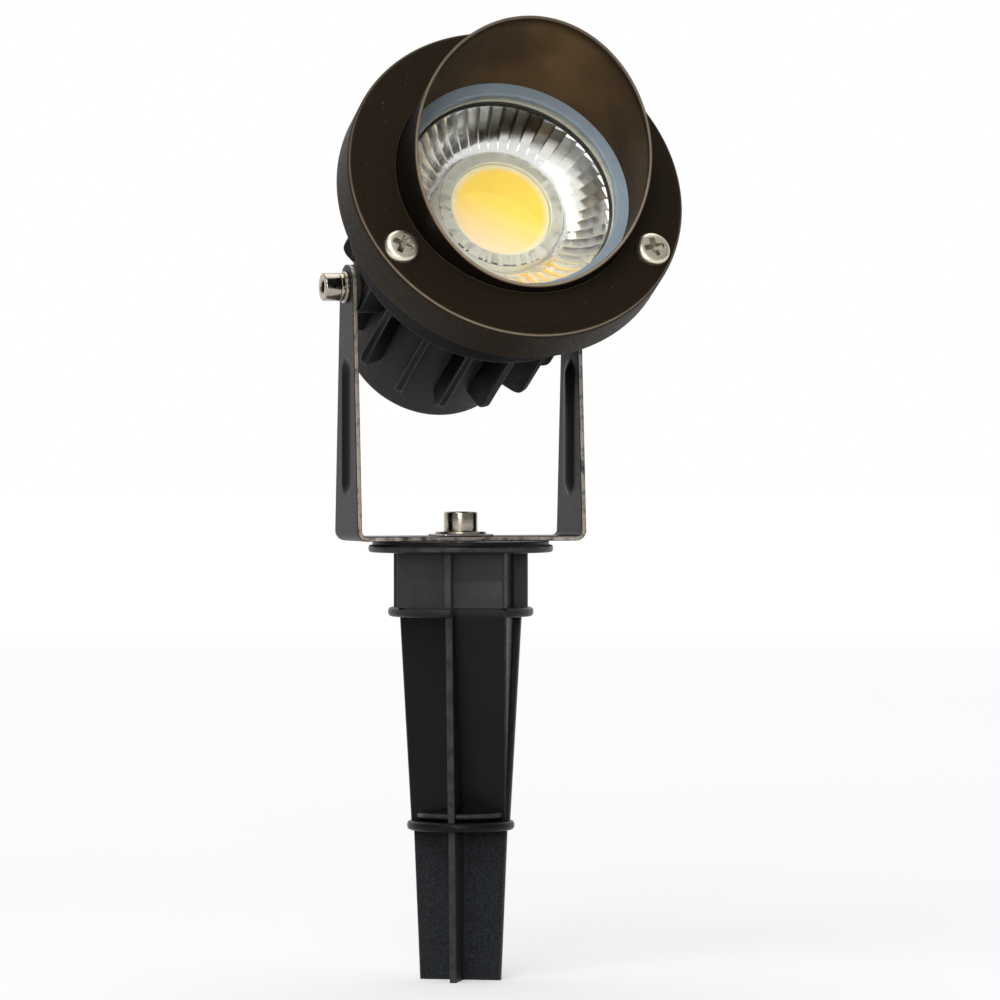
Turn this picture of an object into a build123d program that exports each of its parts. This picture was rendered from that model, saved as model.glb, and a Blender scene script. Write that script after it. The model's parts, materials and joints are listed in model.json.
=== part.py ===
"""Garden spotlight on a ground stake, in millimetres.

+Z is up and -Y is the front.  The origin is on the stake's axis at the ground line, with the tip below it.
The yoke's pivot axis runs along X.  The lamp head is drawn about its own frame, with the pivot at the
origin and +Z forward along the beam, and is then tilted up and set between the yoke's legs.
"""
import os
from math import sqrt

from build123d import *

# Fits
SLIP = 0.02                  # radial gap of pieces that are pressed or screwed together
LOOSE = 0.2                  # radial gap of pieces that drop into each other
SCREW_HOLE_GAP = 0.2         # radial gap round a screw that passes through a sheet
SCREW_HEAD_EDGE = 0.4        # chamfer of the cap screws' heads

# Ground stake, one plastic moulding
SEAT_HEIGHT = 108.5          # ground line to the top of the flange
TIP_DEPTH = 52.0             # ground line to the tip
SHOULDER_DEPTH = 20.0        # ground line to where the point starts
FLANGE_RADIUS = 23.2
FLANGE_RIM = 1.9             # thickness of the flange's rim
RIM_ROUNDING = 0.45          # edge rounding of the flange and rings, as a share of their thickness
STEP_INSET = 1.0             # from the flange's rim in to its raised pad
STEP_HEIGHT = 1.0
HUB_SIDE = 27.4
HUB_HEIGHT = 13.7
HUB_CORNER = 0.8
HUB_FIN_RADIUS = 17.1
STAKE_FIN = 1.7              # thickness of the stake's fins
RING_THICKNESS = 2.4
UPPER_RING_RADIUS = 18.3
LOWER_RING_RADIUS = 13.5
MIDDLE_LENGTH = 51.2         # between the two rings
MIDDLE_TOP_RADIUS = 15.5
MIDDLE_LOW_RADIUS = 12.6
LOWER_TOP_RADIUS = 11.9
GROUND_RADIUS = 10.4         # fin radius at the ground line
SHOULDER_RADIUS = 9.4
TIP_RADIUS = 0.8
TONGUE_WIDTH = 14.0          # wedge tongue at the top, from the middle of a fin
TONGUE_LOW_WIDTH = 11.7      # and above the lower ring
TONGUE_DEPTH = 12.6          # its face at the top, from the stake's axis
TONGUE_CORNER = 1.8
TONGUE_LAP = 0.4             # how far the upper ring's ends run into the tongues' sides
COVE_HEIGHT = 4.2            # scooped collar above the lower ring
COVE_INSET = 1.6             # from the fins' edges in to its lip
COVE_LIP = 1.3               # height of the lip
COVE_GROOVE = 0.7
STAKE_TURN = -29.0           # how far the stake is turned under the yoke

# Bolt through the yoke into the stake
BOLT_RADIUS = 2.5
BOLT_LENGTH = 16.0
BOLT_HEAD_RADIUS = 4.25
BOLT_HEAD_HEIGHT = 5.0
BOLT_HEX = 4.0
INSERT_RADIUS = 3.7
INSERT_LENGTH = 10.0
PLATE_WASHER_SIDE = 13.4
PLATE_WASHER_CLIP = 1.1      # clipped corners
PLATE_WASHER_THICKNESS = 0.5
WASHER_RADIUS = 6.4
WASHER_THICKNESS = 0.6

# Yoke, bent from one strip of sheet
YOKE_WIDTH = 60.0            # over the legs' outer faces
YOKE_SHEET = 1.2
YOKE_BEND = 1.4              # inner radius of the bends
YOKE_DEPTH = 19.8            # front to back at the base
YOKE_END_RADIUS = 5.6        # round top end of a leg
PIVOT_HEIGHT = 63.4          # above the flange
RIB_WIDTH = 7.6
RIB_DEPTH = 1.2
RIB_LOW = 11.5               # above the flange
RIB_HIGH = 45.5

# Tilt pivots
PIVOT_RADIUS = 2.0
PIVOT_THREAD = 6.5           # thread length in the lug
PIVOT_HEAD_RADIUS = 3.5
PIVOT_HEAD_HEIGHT = 4.2
PIVOT_HEX = 3.0
SPRING_WASHER_RADIUS = 3.5
SPRING_WASHER_THICKNESS = 1.1
SPRING_WASHER_SPLIT = 0.6
FLAT_WASHER_RADIUS = 4.0
FLAT_WASHER_THICKNESS = 0.9
FRICTION_PAD_RADIUS = 5.6
FRICTION_PAD_THICKNESS = 1.2

# Lamp head: lengths along the beam are measured from the pivot, positive forward
HEAD_TILT = 27.0
AXIS_RISE = 1.8              # the beam's axis passes this far above the pivot
FACE = 50.8                  # front face of the bezel
BEZEL_RADIUS = 42.5
BEZEL_DEPTH = 11.3
BEZEL_PLATE = 5.0            # thickness of the bezel's face
BEZEL_SKIRT = 1.7            # wall of the bezel's skirt
BEZEL_EDGE = 1.3             # rounding of the bezel's front edge
BEZEL_REAR_EDGE = 0.6
BEZEL_SCREW_INSET = 5.5      # from the bezel's rim in to its screws
BEZEL_SCREW_RADIUS = 2.0
BEZEL_SCREW_HEAD_RADIUS = 4.3
BEZEL_SCREW_HEAD_HEIGHT = 2.0
BEZEL_SLOT_LENGTH = 4.7      # crossed slots in the screws' heads
BEZEL_SLOT_WIDTH = 1.0
BEZEL_SLOT_DEPTH = 1.4
BEZEL_SCREW_THREAD = 5.0     # length in the housing's flange
BEZEL_SCREWS = 3
BEZEL_BAND = 12.3            # from the bezel's rim in to the hood
HOOD_WALL = 0.8
HOOD_FLANGE_WIDTH = 2.6
HOOD_FLANGE = 1.0
HOOD_SINK = 2.6              # hood's foot below the bezel's face
HOOD_MIDDLE = 15.5           # mouth above the bezel's face, on the axis
HOOD_SLOPE = 0.434           # rise of the mouth for each millimetre upward
GASKET_WIDTH = 6.5
GASKET_LIP = 1.3
GASKET_FOOT = 1.0
GASKET_SKIRT = 1.9
GLASS_THICKNESS = 3.0
RETAINER_LIP = 0.7           # how far the retainer shows inside the gasket
RETAINER_THICKNESS = 0.9
THROAT_GAP = 0.4             # round the lens
REFLECTOR_WALL = 0.8
LENS_RADIUS = 15.3
LENS_EDGE = 0.8
LENS_CROWN = 2.2
HOLDER_HEIGHT = 2.2
PHOSPHOR_RADIUS = 12.0
PHOSPHOR_THICKNESS = 1.2
BOARD_GAP = 1.2              # between the board and the plate screws' heads
BOARD_THICKNESS = 1.6
PAD_RADIUS = 14.0
PAD_THICKNESS = 0.5
HEAT_PLATE_THICKNESS = 3.5
OPTIC_DEPTH = 22.3           # bezel's face to the ledge that the heat plate lies on
PLATE_SCREW_INSET = 5.0      # from the cavity's wall in to the plate's screws
PLATE_SCREW_RADIUS = 1.5
PLATE_SCREW_HEAD_RADIUS = 2.8
PLATE_SCREW_HEAD_HEIGHT = 1.8
PLATE_SCREW_THREAD = 3.4
PLATE_SCREWS = 3

# Housing
CAVITY_STEP = 1.8            # from the gasket's rim in to the cavity's wall
FLANGE_GAP = 0.3             # between the housing's flange and the bezel's skirt
COLLAR_WALL = 5.0
COLLAR_FLOOR = 4.5           # behind the heat plate
DRUM_RADIUS = 22.5
DRUM_WALL = 3.0
DRUM_REAR = -31.2
DRUM_EDGE = 2.6
REAR_WALL = 3.2
FIN_COUNT = 16
FIN_RADIUS = 30.0
FIN_THICKNESS = 2.2
FIN_TIP_REAR = -13.2
FIN_ROOT_REAR = -17.8
FIN_CORNER = 3.0
FIN_SIDE_STEP = 1.2          # fins beside the pivots are cut flat this far inside the lugs' faces
LUG_HALF_HEIGHT = 6.4

# Driver inside the drum
DRIVER_LEVEL = -8.0          # underside of the board, from the drum's axis
DRIVER_GAP = 2.3             # between the board's edges and the drum's bore
DRIVER_SETBACK = 6.0         # from the rear wall to the board
DRIVER_LENGTH = 36.0
DRIVER_THICKNESS = 1.6
RAIL_GRIP = 2.0              # how far a rail reaches under the board
RAIL_THICKNESS = 1.6
COIL_RADIUS = 6.0
COIL_HEIGHT = 9.0
CAPACITOR_RADIUS = 3.2
CAPACITOR_LENGTH = 9.0
CAPACITOR_SPACING = 14.0
TERMINAL_WIDTH = 11.0
TERMINAL_HEIGHT = 6.0
TERMINAL_LENGTH = 7.0
LEAD_RADIUS = 0.7
LEAD_SPACING = 5.0
LEAD_CLEARANCE = 2.0         # from the thermal pad to the leads
LEAD_BEND = 3.0

# Cable gland in the rear wall
GLAND_RADIUS = 6.0
GLAND_BORE = 3.7
GLAND_HEX = 16.0
GLAND_HEX_LENGTH = 4.0
GLAND_TAIL = 7.0
LOCKNUT_LENGTH = 2.8
SEAL_BORE = 3.3
SEAL_WALL = 1.5
SEAL_LENGTH = 6.0
NUT_RADIUS = 8.2
NUT_END = 2.0

# Radii and widths that follow from the sizes above
STEP_RADIUS = FLANGE_RADIUS - STEP_INSET
BEZEL_SCREW_CIRCLE = BEZEL_RADIUS - BEZEL_SCREW_INSET
HOOD_RADIUS = BEZEL_RADIUS - BEZEL_BAND
HOOD_FLANGE_RADIUS = HOOD_RADIUS + HOOD_FLANGE_WIDTH
GASKET_RADIUS = HOOD_FLANGE_RADIUS
GASKET_BORE = GASKET_RADIUS - GASKET_WIDTH
GLASS_RADIUS = GASKET_RADIUS - GASKET_SKIRT - SLIP
RETAINER_BORE = GASKET_BORE - RETAINER_LIP
REFLECTOR_MOUTH = RETAINER_BORE - LOOSE
REFLECTOR_THROAT = LENS_RADIUS + THROAT_GAP
CAVITY_RADIUS = GASKET_RADIUS - CAVITY_STEP
PLATE_SCREW_CIRCLE = CAVITY_RADIUS - PLATE_SCREW_INSET
BOARD_RADIUS = PLATE_SCREW_CIRCLE - PLATE_SCREW_HEAD_RADIUS - BOARD_GAP
COLLAR_RADIUS = CAVITY_RADIUS + COLLAR_WALL
FLANGE_OUTER = BEZEL_RADIUS - BEZEL_SKIRT - FLANGE_GAP
DRUM_BORE = DRUM_RADIUS - DRUM_WALL
LUG_FACE = YOKE_WIDTH / 2 - YOKE_SHEET - FRICTION_PAD_THICKNESS
FIN_SIDE_LIMIT = LUG_FACE - FIN_SIDE_STEP
DRIVER_WIDTH = 2 * (sqrt(DRUM_BORE ** 2 - DRIVER_LEVEL ** 2) - DRIVER_GAP)
LEAD_OFFSET = -PAD_RADIUS - LEAD_CLEARANCE

# Levels along the beam that follow from the sizes above
BEZEL_SEAT = FACE - BEZEL_PLATE
BEZEL_REAR = FACE - BEZEL_DEPTH
HOOD_FOOT = FACE - HOOD_SINK
GLASS_TOP = HOOD_FOOT - GASKET_LIP
GLASS_LOW = GLASS_TOP - GLASS_THICKNESS
GASKET_LOW = GLASS_LOW - GASKET_FOOT
REFLECTOR_RIM = GASKET_LOW - RETAINER_THICKNESS
HEAT_SEAT = FACE - OPTIC_DEPTH
COLLAR_REAR = HEAT_SEAT - COLLAR_FLOOR
HEAT_DECK = HEAT_SEAT + HEAT_PLATE_THICKNESS
BOARD_LOW = HEAT_DECK + PAD_THICKNESS
BOARD_TOP = BOARD_LOW + BOARD_THICKNESS
HOLDER_TOP = BOARD_TOP + HOLDER_HEIGHT
FLANGE_REAR = BEZEL_REAR + LOOSE
BORE_REAR = DRUM_REAR + REAR_WALL
DRIVER_REAR = BORE_REAR + DRIVER_SETBACK
PIVOT_LEVEL = SEAT_HEIGHT + PIVOT_HEIGHT

HEAD = Pos(0, 0, PIVOT_LEVEL) * Rot(90 - HEAD_TILT, 0, 0)
BEAM = HEAD * Pos(0, AXIS_RISE, 0)


# A box or cylinder stands on its place with this alignment
STANDING = (Align.CENTER, Align.CENTER, Align.MIN)


def rod(radius, low, high):
    """Round bar along Z from one level to another."""
    return Pos(0, 0, low) * Cylinder(radius, high - low, align=STANDING)


def tube(outer, inner, low, high):
    """Round tube along Z from one level to another."""
    return rod(outer, low, high) - rod(inner, low, high)


def hexagon(across_flats, low, high):
    """Hexagonal bar along Z from one level to another."""
    outline = RegularPolygon(across_flats / 2, 6, major_radius=False)
    return Pos(0, 0, low) * extrude(outline, high - low)


def turned(points):
    """Solid of revolution about Z from a closed outline of (radius, level) points."""
    outline = Plane.XZ * make_face(Polyline(*points, close=True))
    return revolve(outline, Axis.Z)


def dome(radius, height):
    """Radius of the ball whose cap has the given rim radius and height."""
    return (radius ** 2 + height ** 2) / (2 * height)


def around(count, radius, first_angle):
    """Places on a circle about Z, evenly spread from the first angle."""
    return [Rot(0, 0, first_angle + 360 / count * i) * Pos(radius, 0, 0) for i in range(count)]


def both_sides(piece):
    """The piece, drawn along +X, with its twin turned to -X."""
    return Compound([piece, Rot(0, 0, 180) * piece])


def lying(piece):
    """Turns a piece drawn along +Z so that it lies along +X."""
    return Rot(0, 90, 0) * piece


# Levels of the stake, from the flange down
FLANGE_LOW = SEAT_HEIGHT - STEP_HEIGHT - FLANGE_RIM
HUB_LOW = FLANGE_LOW - HUB_HEIGHT
UPPER_RING_LOW = HUB_LOW - RING_THICKNESS
LOWER_RING_HIGH = UPPER_RING_LOW - MIDDLE_LENGTH
LOWER_RING_LOW = LOWER_RING_HIGH - RING_THICKNESS


def round_disc(radius, low, high):
    """Disc with a half-round rim."""
    disc = rod(radius, low, high)
    return fillet(disc.edges().filter_by(GeomType.CIRCLE), RIM_ROUNDING * (high - low))


def stake_fins():
    """Pair of opposite fins, one flat plate whose edges follow the stake's outline."""
    right = [
        (HUB_FIN_RADIUS, FLANGE_LOW),
        (HUB_FIN_RADIUS, HUB_LOW),
        (MIDDLE_TOP_RADIUS, UPPER_RING_LOW),
        (MIDDLE_LOW_RADIUS, LOWER_RING_HIGH),
        (LOWER_TOP_RADIUS, LOWER_RING_LOW),
        (GROUND_RADIUS, 0),
        (SHOULDER_RADIUS, -SHOULDER_DEPTH),
        (TIP_RADIUS, -TIP_DEPTH),
    ]
    left = [(-x, z) for x, z in reversed(right)]
    return extrude(Plane.XZ * make_face(Polyline(*right, *left, close=True)), STAKE_FIN / 2, both=True)


def tongue():
    """Wedge in one quarter: its face slants from the hub's depth back to the fin above the lower ring, and its
    side draws in a little on the way."""
    profile = [
        (0, HUB_LOW),
        (-TONGUE_DEPTH, HUB_LOW),
        (-STAKE_FIN / 2, LOWER_RING_HIGH),
        (0, LOWER_RING_HIGH),
    ]
    outline = [
        (0, HUB_LOW),
        (TONGUE_WIDTH, HUB_LOW),
        (TONGUE_LOW_WIDTH, LOWER_RING_HIGH),
        (0, LOWER_RING_HIGH),
    ]
    wedge = extrude(Plane.YZ * make_face(Polyline(*profile, close=True)), max(TONGUE_WIDTH, TONGUE_LOW_WIDTH))
    wedge &= extrude(Plane.XZ * make_face(Polyline(*outline, close=True)), TONGUE_DEPTH)
    corner = wedge.edges().filter_by(Axis.Y).group_by(Axis.Z)[-1].sort_by(Axis.X)[-1]
    return fillet(corner, TONGUE_CORNER)


def cove():
    """Collar on a groove above the lower ring, scooped as a quarter ellipse from its lip up into the fins."""
    lip_low = LOWER_RING_HIGH + COVE_GROOVE
    lip_high = lip_low + COVE_LIP
    lip_radius = MIDDLE_LOW_RADIUS - COVE_INSET
    top = lip_high + COVE_HEIGHT
    core = STAKE_FIN / 4
    scoop = Plane.XZ * Pos(lip_radius, top) * Ellipse(lip_radius - core, COVE_HEIGHT)
    return rod(lip_radius, lip_low, top) - revolve(scoop, Axis.Z)


def ground_stake():
    """Stake: stepped flange, hub, crossed fins, two rings, two tongues and the hole for the insert."""
    flange = round_disc(FLANGE_RADIUS, FLANGE_LOW, SEAT_HEIGHT - STEP_HEIGHT)
    pad = rod(STEP_RADIUS, SEAT_HEIGHT - STEP_HEIGHT, SEAT_HEIGHT)
    hub = Pos(0, 0, HUB_LOW) * Box(HUB_SIDE, HUB_SIDE, HUB_HEIGHT, align=STANDING)
    hub = fillet(hub.edges().filter_by(Axis.Z), HUB_CORNER)
    upper = round_disc(UPPER_RING_RADIUS, UPPER_RING_LOW, HUB_LOW)
    lower = round_disc(LOWER_RING_RADIUS, LOWER_RING_LOW, LOWER_RING_HIGH)
    notch = Pos(STAKE_FIN / 2, -STAKE_FIN / 2, UPPER_RING_LOW) * Box(
        TONGUE_WIDTH - STAKE_FIN / 2 - TONGUE_LAP, UPPER_RING_RADIUS, RING_THICKNESS,
        align=(Align.MIN, Align.MAX, Align.MIN))
    for turn in (0, 180):
        upper -= Rot(0, 0, turn) * notch
    stake = flange + pad + hub + upper + lower + cove() + stake_fins() + Rot(0, 0, 90) * stake_fins()
    for turn in (0, 180):
        stake += Rot(0, 0, turn) * tongue()
    stake -= rod(INSERT_RADIUS + SLIP, SEAT_HEIGHT - INSERT_LENGTH, SEAT_HEIGHT)
    stake -= rod(BOLT_RADIUS + LOOSE, SEAT_HEIGHT - BOLT_LENGTH, SEAT_HEIGHT)
    return Rot(0, 0, STAKE_TURN) * stake


def stake_insert():
    """Threaded brass insert, flush with the flange."""
    return tube(INSERT_RADIUS, BOLT_RADIUS + SLIP, SEAT_HEIGHT - INSERT_LENGTH, SEAT_HEIGHT)


PLATE_WASHER_LOW = SEAT_HEIGHT + YOKE_SHEET
WASHER_LOW = PLATE_WASHER_LOW + PLATE_WASHER_THICKNESS
BOLT_SEAT = WASHER_LOW + WASHER_THICKNESS


def plate_washer():
    """Square washer with clipped corners on the yoke's base."""
    plate = Pos(0, 0, PLATE_WASHER_LOW) * Box(
        PLATE_WASHER_SIDE, PLATE_WASHER_SIDE, PLATE_WASHER_THICKNESS, align=STANDING)
    plate = chamfer(plate.edges().filter_by(Axis.Z), PLATE_WASHER_CLIP)
    return plate - rod(BOLT_RADIUS + LOOSE, PLATE_WASHER_LOW, WASHER_LOW)


def stake_washer():
    """Round washer under the bolt's head."""
    return tube(WASHER_RADIUS, BOLT_RADIUS + LOOSE, WASHER_LOW, BOLT_SEAT)


def cap_screw(radius, length, head_radius, head_height, across_flats):
    """Socket cap screw along Z: head above level 0, thread below it."""
    head = rod(head_radius, 0, head_height)
    head = chamfer(head.edges().sort_by(Axis.Z)[-1], SCREW_HEAD_EDGE)
    return head + rod(radius, -length, 0) - hexagon(across_flats, head_height / 2, head_height)


def stake_bolt():
    """Bolt that the yoke swivels on."""
    bolt = cap_screw(BOLT_RADIUS, BOLT_LENGTH, BOLT_HEAD_RADIUS, BOLT_HEAD_HEIGHT, BOLT_HEX)
    return Pos(0, 0, BOLT_SEAT) * bolt


def yoke_bracket():
    """Yoke: a strip bent to a U, with tapering legs, round ends, pressed ribs and three holes."""
    half = YOKE_WIDTH / 2
    top = PIVOT_HEIGHT + YOKE_END_RADIUS
    block = Box(YOKE_WIDTH, YOKE_DEPTH, top, align=STANDING)
    bends = block.edges().filter_by(Axis.Y).group_by(Axis.Z)[0]
    block = fillet(bends, YOKE_BEND + YOKE_SHEET)
    inside = Pos(0, 0, YOKE_SHEET) * Box(YOKE_WIDTH - 2 * YOKE_SHEET, YOKE_DEPTH, top, align=STANDING)
    inside = fillet(inside.edges().filter_by(Axis.Y).group_by(Axis.Z)[0], YOKE_BEND)
    strip = block - inside
    taper = [
        (-YOKE_DEPTH / 2, 0),
        (YOKE_DEPTH / 2, 0),
        (YOKE_DEPTH / 2, YOKE_BEND + YOKE_SHEET),
        (YOKE_END_RADIUS, PIVOT_HEIGHT),
        (-YOKE_END_RADIUS, PIVOT_HEIGHT),
        (-YOKE_DEPTH / 2, YOKE_BEND + YOKE_SHEET),
    ]
    side = make_face(Polyline(*taper, close=True)) + Pos(0, PIVOT_HEIGHT) * Circle(YOKE_END_RADIUS)
    yoke = strip & extrude(Plane.YZ * side, YOKE_WIDTH, both=True)
    rib_length = RIB_HIGH - RIB_LOW
    rib_level = (RIB_HIGH + RIB_LOW) / 2
    for turn in (0, 180):
        ridge = Plane.YZ * Pos(0, rib_level) * SlotOverall(rib_length, RIB_WIDTH, rotation=90)
        groove = Plane.YZ * Pos(0, rib_level) * SlotOverall(
            rib_length - 2 * RIB_DEPTH, RIB_WIDTH - 2 * RIB_DEPTH, rotation=90)
        yoke += Rot(0, 0, turn) * Pos(half - YOKE_SHEET - RIB_DEPTH, 0, 0) * extrude(ridge, RIB_DEPTH)
        yoke -= Rot(0, 0, turn) * Pos(half - RIB_DEPTH, 0, 0) * extrude(groove, RIB_DEPTH)
    yoke -= rod(BOLT_RADIUS + SCREW_HOLE_GAP, 0, YOKE_SHEET)
    yoke -= Pos(-half, 0, PIVOT_HEIGHT) * lying(rod(PIVOT_RADIUS + SCREW_HOLE_GAP, 0, YOKE_WIDTH))
    return Pos(0, 0, SEAT_HEIGHT) * yoke


# Places along the pivot axis, from the leg outward
FLAT_WASHER_IN = YOKE_WIDTH / 2
SPRING_WASHER_IN = FLAT_WASHER_IN + FLAT_WASHER_THICKNESS
PIVOT_HEAD_IN = SPRING_WASHER_IN + SPRING_WASHER_THICKNESS


def pivot_pair(piece):
    """A piece drawn along +Z, laid on the pivot axis at both sides of the head."""
    return HEAD * both_sides(lying(piece))


def pivot_screws():
    """Two socket cap screws through the legs into the lugs."""
    length = PIVOT_HEAD_IN - LUG_FACE + PIVOT_THREAD
    screw = cap_screw(PIVOT_RADIUS, length, PIVOT_HEAD_RADIUS, PIVOT_HEAD_HEIGHT, PIVOT_HEX)
    return pivot_pair(Pos(0, 0, PIVOT_HEAD_IN) * screw)


def pivot_spring_washers():
    """Split spring washers under the pivot screws' heads."""
    washer = tube(SPRING_WASHER_RADIUS, PIVOT_RADIUS + LOOSE, SPRING_WASHER_IN, PIVOT_HEAD_IN)
    split = Pos(SPRING_WASHER_RADIUS, 0, SPRING_WASHER_IN) * Box(
        2 * SPRING_WASHER_RADIUS, SPRING_WASHER_SPLIT, 3 * SPRING_WASHER_THICKNESS)
    return pivot_pair(washer - split)


def pivot_flat_washers():
    """Flat washers on the legs' outer faces."""
    return pivot_pair(tube(FLAT_WASHER_RADIUS, PIVOT_RADIUS + LOOSE, FLAT_WASHER_IN, SPRING_WASHER_IN))


def pivot_friction_pads():
    """Rubber friction pads between the lugs and the legs."""
    outside = LUG_FACE + FRICTION_PAD_THICKNESS
    return pivot_pair(tube(FRICTION_PAD_RADIUS, PIVOT_RADIUS + LOOSE, LUG_FACE, outside))


def housing_fin():
    """One cooling fin in the XZ plane: its rear end slants and its outer corner is rounded."""
    root = (DRUM_BORE + DRUM_RADIUS) / 2
    profile = [
        (root, COLLAR_REAR),
        (FIN_RADIUS, COLLAR_REAR),
        (FIN_RADIUS, FIN_TIP_REAR),
        (root, FIN_ROOT_REAR),
    ]
    face = make_face(Polyline(*profile, close=True))
    corner = face.vertices().sort_by_distance((FIN_RADIUS, FIN_TIP_REAR, 0))[0]
    return extrude(Plane.XZ * fillet(corner, FIN_CORNER), FIN_THICKNESS / 2, both=True)


def pivot_lugs():
    """Bar across the head that ends in the two flat pivot lugs, round behind the pivot."""
    block = Pos(0, 0, COLLAR_REAR) * Box(
        2 * LUG_FACE, 2 * LUG_HALF_HEIGHT, COLLAR_REAR, align=(Align.CENTER, Align.CENTER, Align.MAX))
    rear = Pos(-LUG_FACE, 0, 0) * lying(rod(LUG_HALF_HEIGHT, 0, 2 * LUG_FACE))
    return Pos(0, -AXIS_RISE, 0) * (block + rear)


def driver_rails():
    """Two ledges in the drum's bore that carry the driver board."""
    top = (Align.CENTER, Align.MAX, Align.MIN)
    bar = Pos(0, DRIVER_LEVEL, BORE_REAR) * Box(
        DRUM_RADIUS + DRUM_BORE, RAIL_THICKNESS, DRIVER_REAR + DRIVER_LENGTH - BORE_REAR, align=top)
    gap = Pos(0, DRIVER_LEVEL, BORE_REAR) * Box(
        DRIVER_WIDTH - 2 * RAIL_GRIP, RAIL_THICKNESS, DRIVER_REAR + DRIVER_LENGTH - BORE_REAR, align=top)
    return (bar - gap) & rod((DRUM_RADIUS + DRUM_BORE) / 2, DRUM_REAR, HEAT_SEAT)


def bezel_screw_places():
    """Screw places on the bezel: one at the top, the others evenly round."""
    return around(BEZEL_SCREWS, BEZEL_SCREW_CIRCLE, 90)


def plate_screw_places():
    """Screw places on the heat plate: one at the top, the others evenly round."""
    return around(PLATE_SCREWS, PLATE_SCREW_CIRCLE, 90)


def housing():
    """Die-cast housing: drum, sixteen fins, collar, flange, lugs, bores and threaded holes."""
    drum = rod(DRUM_RADIUS, DRUM_REAR, COLLAR_REAR)
    drum = fillet(drum.edges().sort_by(Axis.Z)[0], DRUM_EDGE)
    body = drum + rod(COLLAR_RADIUS, COLLAR_REAR, FLANGE_REAR) + rod(FLANGE_OUTER, FLANGE_REAR, BEZEL_SEAT)
    limit = Box(2 * FIN_SIDE_LIMIT, 4 * FIN_RADIUS, 4 * COLLAR_REAR)
    for i in range(FIN_COUNT):
        body += (Rot(0, 0, 360 / FIN_COUNT * (i + 0.5)) * housing_fin()) & limit
    body += pivot_lugs()
    body -= rod(GASKET_RADIUS + LOOSE, GASKET_LOW, BEZEL_SEAT)
    body -= rod(CAVITY_RADIUS, HEAT_SEAT, GASKET_LOW)
    body -= rod(DRUM_BORE, BORE_REAR, HEAT_SEAT)
    body -= rod(GLAND_RADIUS + SLIP, DRUM_REAR, BORE_REAR)
    body += driver_rails()
    for place in bezel_screw_places():
        body -= place * rod(BEZEL_SCREW_RADIUS + SLIP, BEZEL_SEAT - BEZEL_SCREW_THREAD, BEZEL_SEAT)
    for place in plate_screw_places():
        body -= place * rod(PLATE_SCREW_RADIUS + SLIP, HEAT_SEAT - PLATE_SCREW_THREAD, HEAT_SEAT)
    thread = lying(rod(PIVOT_RADIUS + SLIP, LUG_FACE - PIVOT_THREAD, LUG_FACE))
    for turn in (0, 180):
        body -= Pos(0, -AXIS_RISE, 0) * Rot(0, 0, turn) * thread
    return BEAM * body


def bezel():
    """Bezel: thick face with a rounded edge, a skirt round the housing's flange and a seat for the hood."""
    ring = rod(BEZEL_RADIUS, BEZEL_REAR, FACE)
    ring = fillet(ring.edges().sort_by(Axis.Z)[-1], BEZEL_EDGE)
    ring = fillet(ring.edges().filter_by(GeomType.CIRCLE).sort_by(Axis.Z)[0], BEZEL_REAR_EDGE)
    ring -= rod(BEZEL_RADIUS - BEZEL_SKIRT, BEZEL_REAR, BEZEL_SEAT)
    ring -= rod(HOOD_RADIUS + LOOSE, BEZEL_SEAT, FACE)
    ring -= rod(HOOD_FLANGE_RADIUS + LOOSE, BEZEL_SEAT, HOOD_FOOT + HOOD_FLANGE)
    for place in bezel_screw_places():
        ring -= place * rod(BEZEL_SCREW_RADIUS + SCREW_HOLE_GAP, BEZEL_SEAT, FACE)
    return BEAM * ring


def bezel_screws():
    """Three pan-head screws with crossed slots, from the bezel into the housing's flange."""
    dome_radius = dome(BEZEL_SCREW_HEAD_RADIUS, BEZEL_SCREW_HEAD_HEIGHT)
    ball = Pos(0, 0, FACE + BEZEL_SCREW_HEAD_HEIGHT - dome_radius) * Sphere(dome_radius)
    head = rod(BEZEL_SCREW_HEAD_RADIUS, FACE, FACE + BEZEL_SCREW_HEAD_HEIGHT) & ball
    slot = Pos(0, 0, FACE + BEZEL_SCREW_HEAD_HEIGHT) * Box(
        BEZEL_SLOT_LENGTH, BEZEL_SLOT_WIDTH, 2 * BEZEL_SLOT_DEPTH)
    screw = head + rod(BEZEL_SCREW_RADIUS, BEZEL_SEAT - BEZEL_SCREW_THREAD, FACE)
    screw -= slot
    screw -= Rot(0, 0, 90) * slot
    return BEAM * Compound([place * screw for place in bezel_screw_places()])


def glare_hood():
    """Hood: a thin tube with a foot flange, its mouth cut on a slant so that the top is longest."""
    reach = HOOD_MIDDLE + HOOD_SLOPE * HOOD_RADIUS
    hood = rod(HOOD_RADIUS, HOOD_FOOT, FACE + reach)
    hood += rod(HOOD_FLANGE_RADIUS, HOOD_FOOT, HOOD_FOOT + HOOD_FLANGE)
    hood -= rod(HOOD_RADIUS - HOOD_WALL, HOOD_FOOT, FACE + reach)
    across = 2 * HOOD_FLANGE_RADIUS
    mouth = [
        (-across, FACE + HOOD_MIDDLE - HOOD_SLOPE * across),
        (across, FACE + HOOD_MIDDLE + HOOD_SLOPE * across),
        (across, FACE + 2 * reach + across),
        (-across, FACE + 2 * reach + across),
    ]
    return BEAM * (hood - extrude(Plane.YZ * make_face(Polyline(*mouth, close=True)), across, both=True))


def glass_gasket():
    """Silicone gasket with a C section that holds the glass by its rim."""
    ring = tube(GASKET_RADIUS, GASKET_BORE, GASKET_LOW, HOOD_FOOT)
    return BEAM * (ring - rod(GASKET_RADIUS - GASKET_SKIRT, GLASS_LOW, GLASS_TOP))


def front_glass():
    """Flat tempered glass."""
    return BEAM * rod(GLASS_RADIUS, GLASS_LOW, GLASS_TOP)


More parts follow.
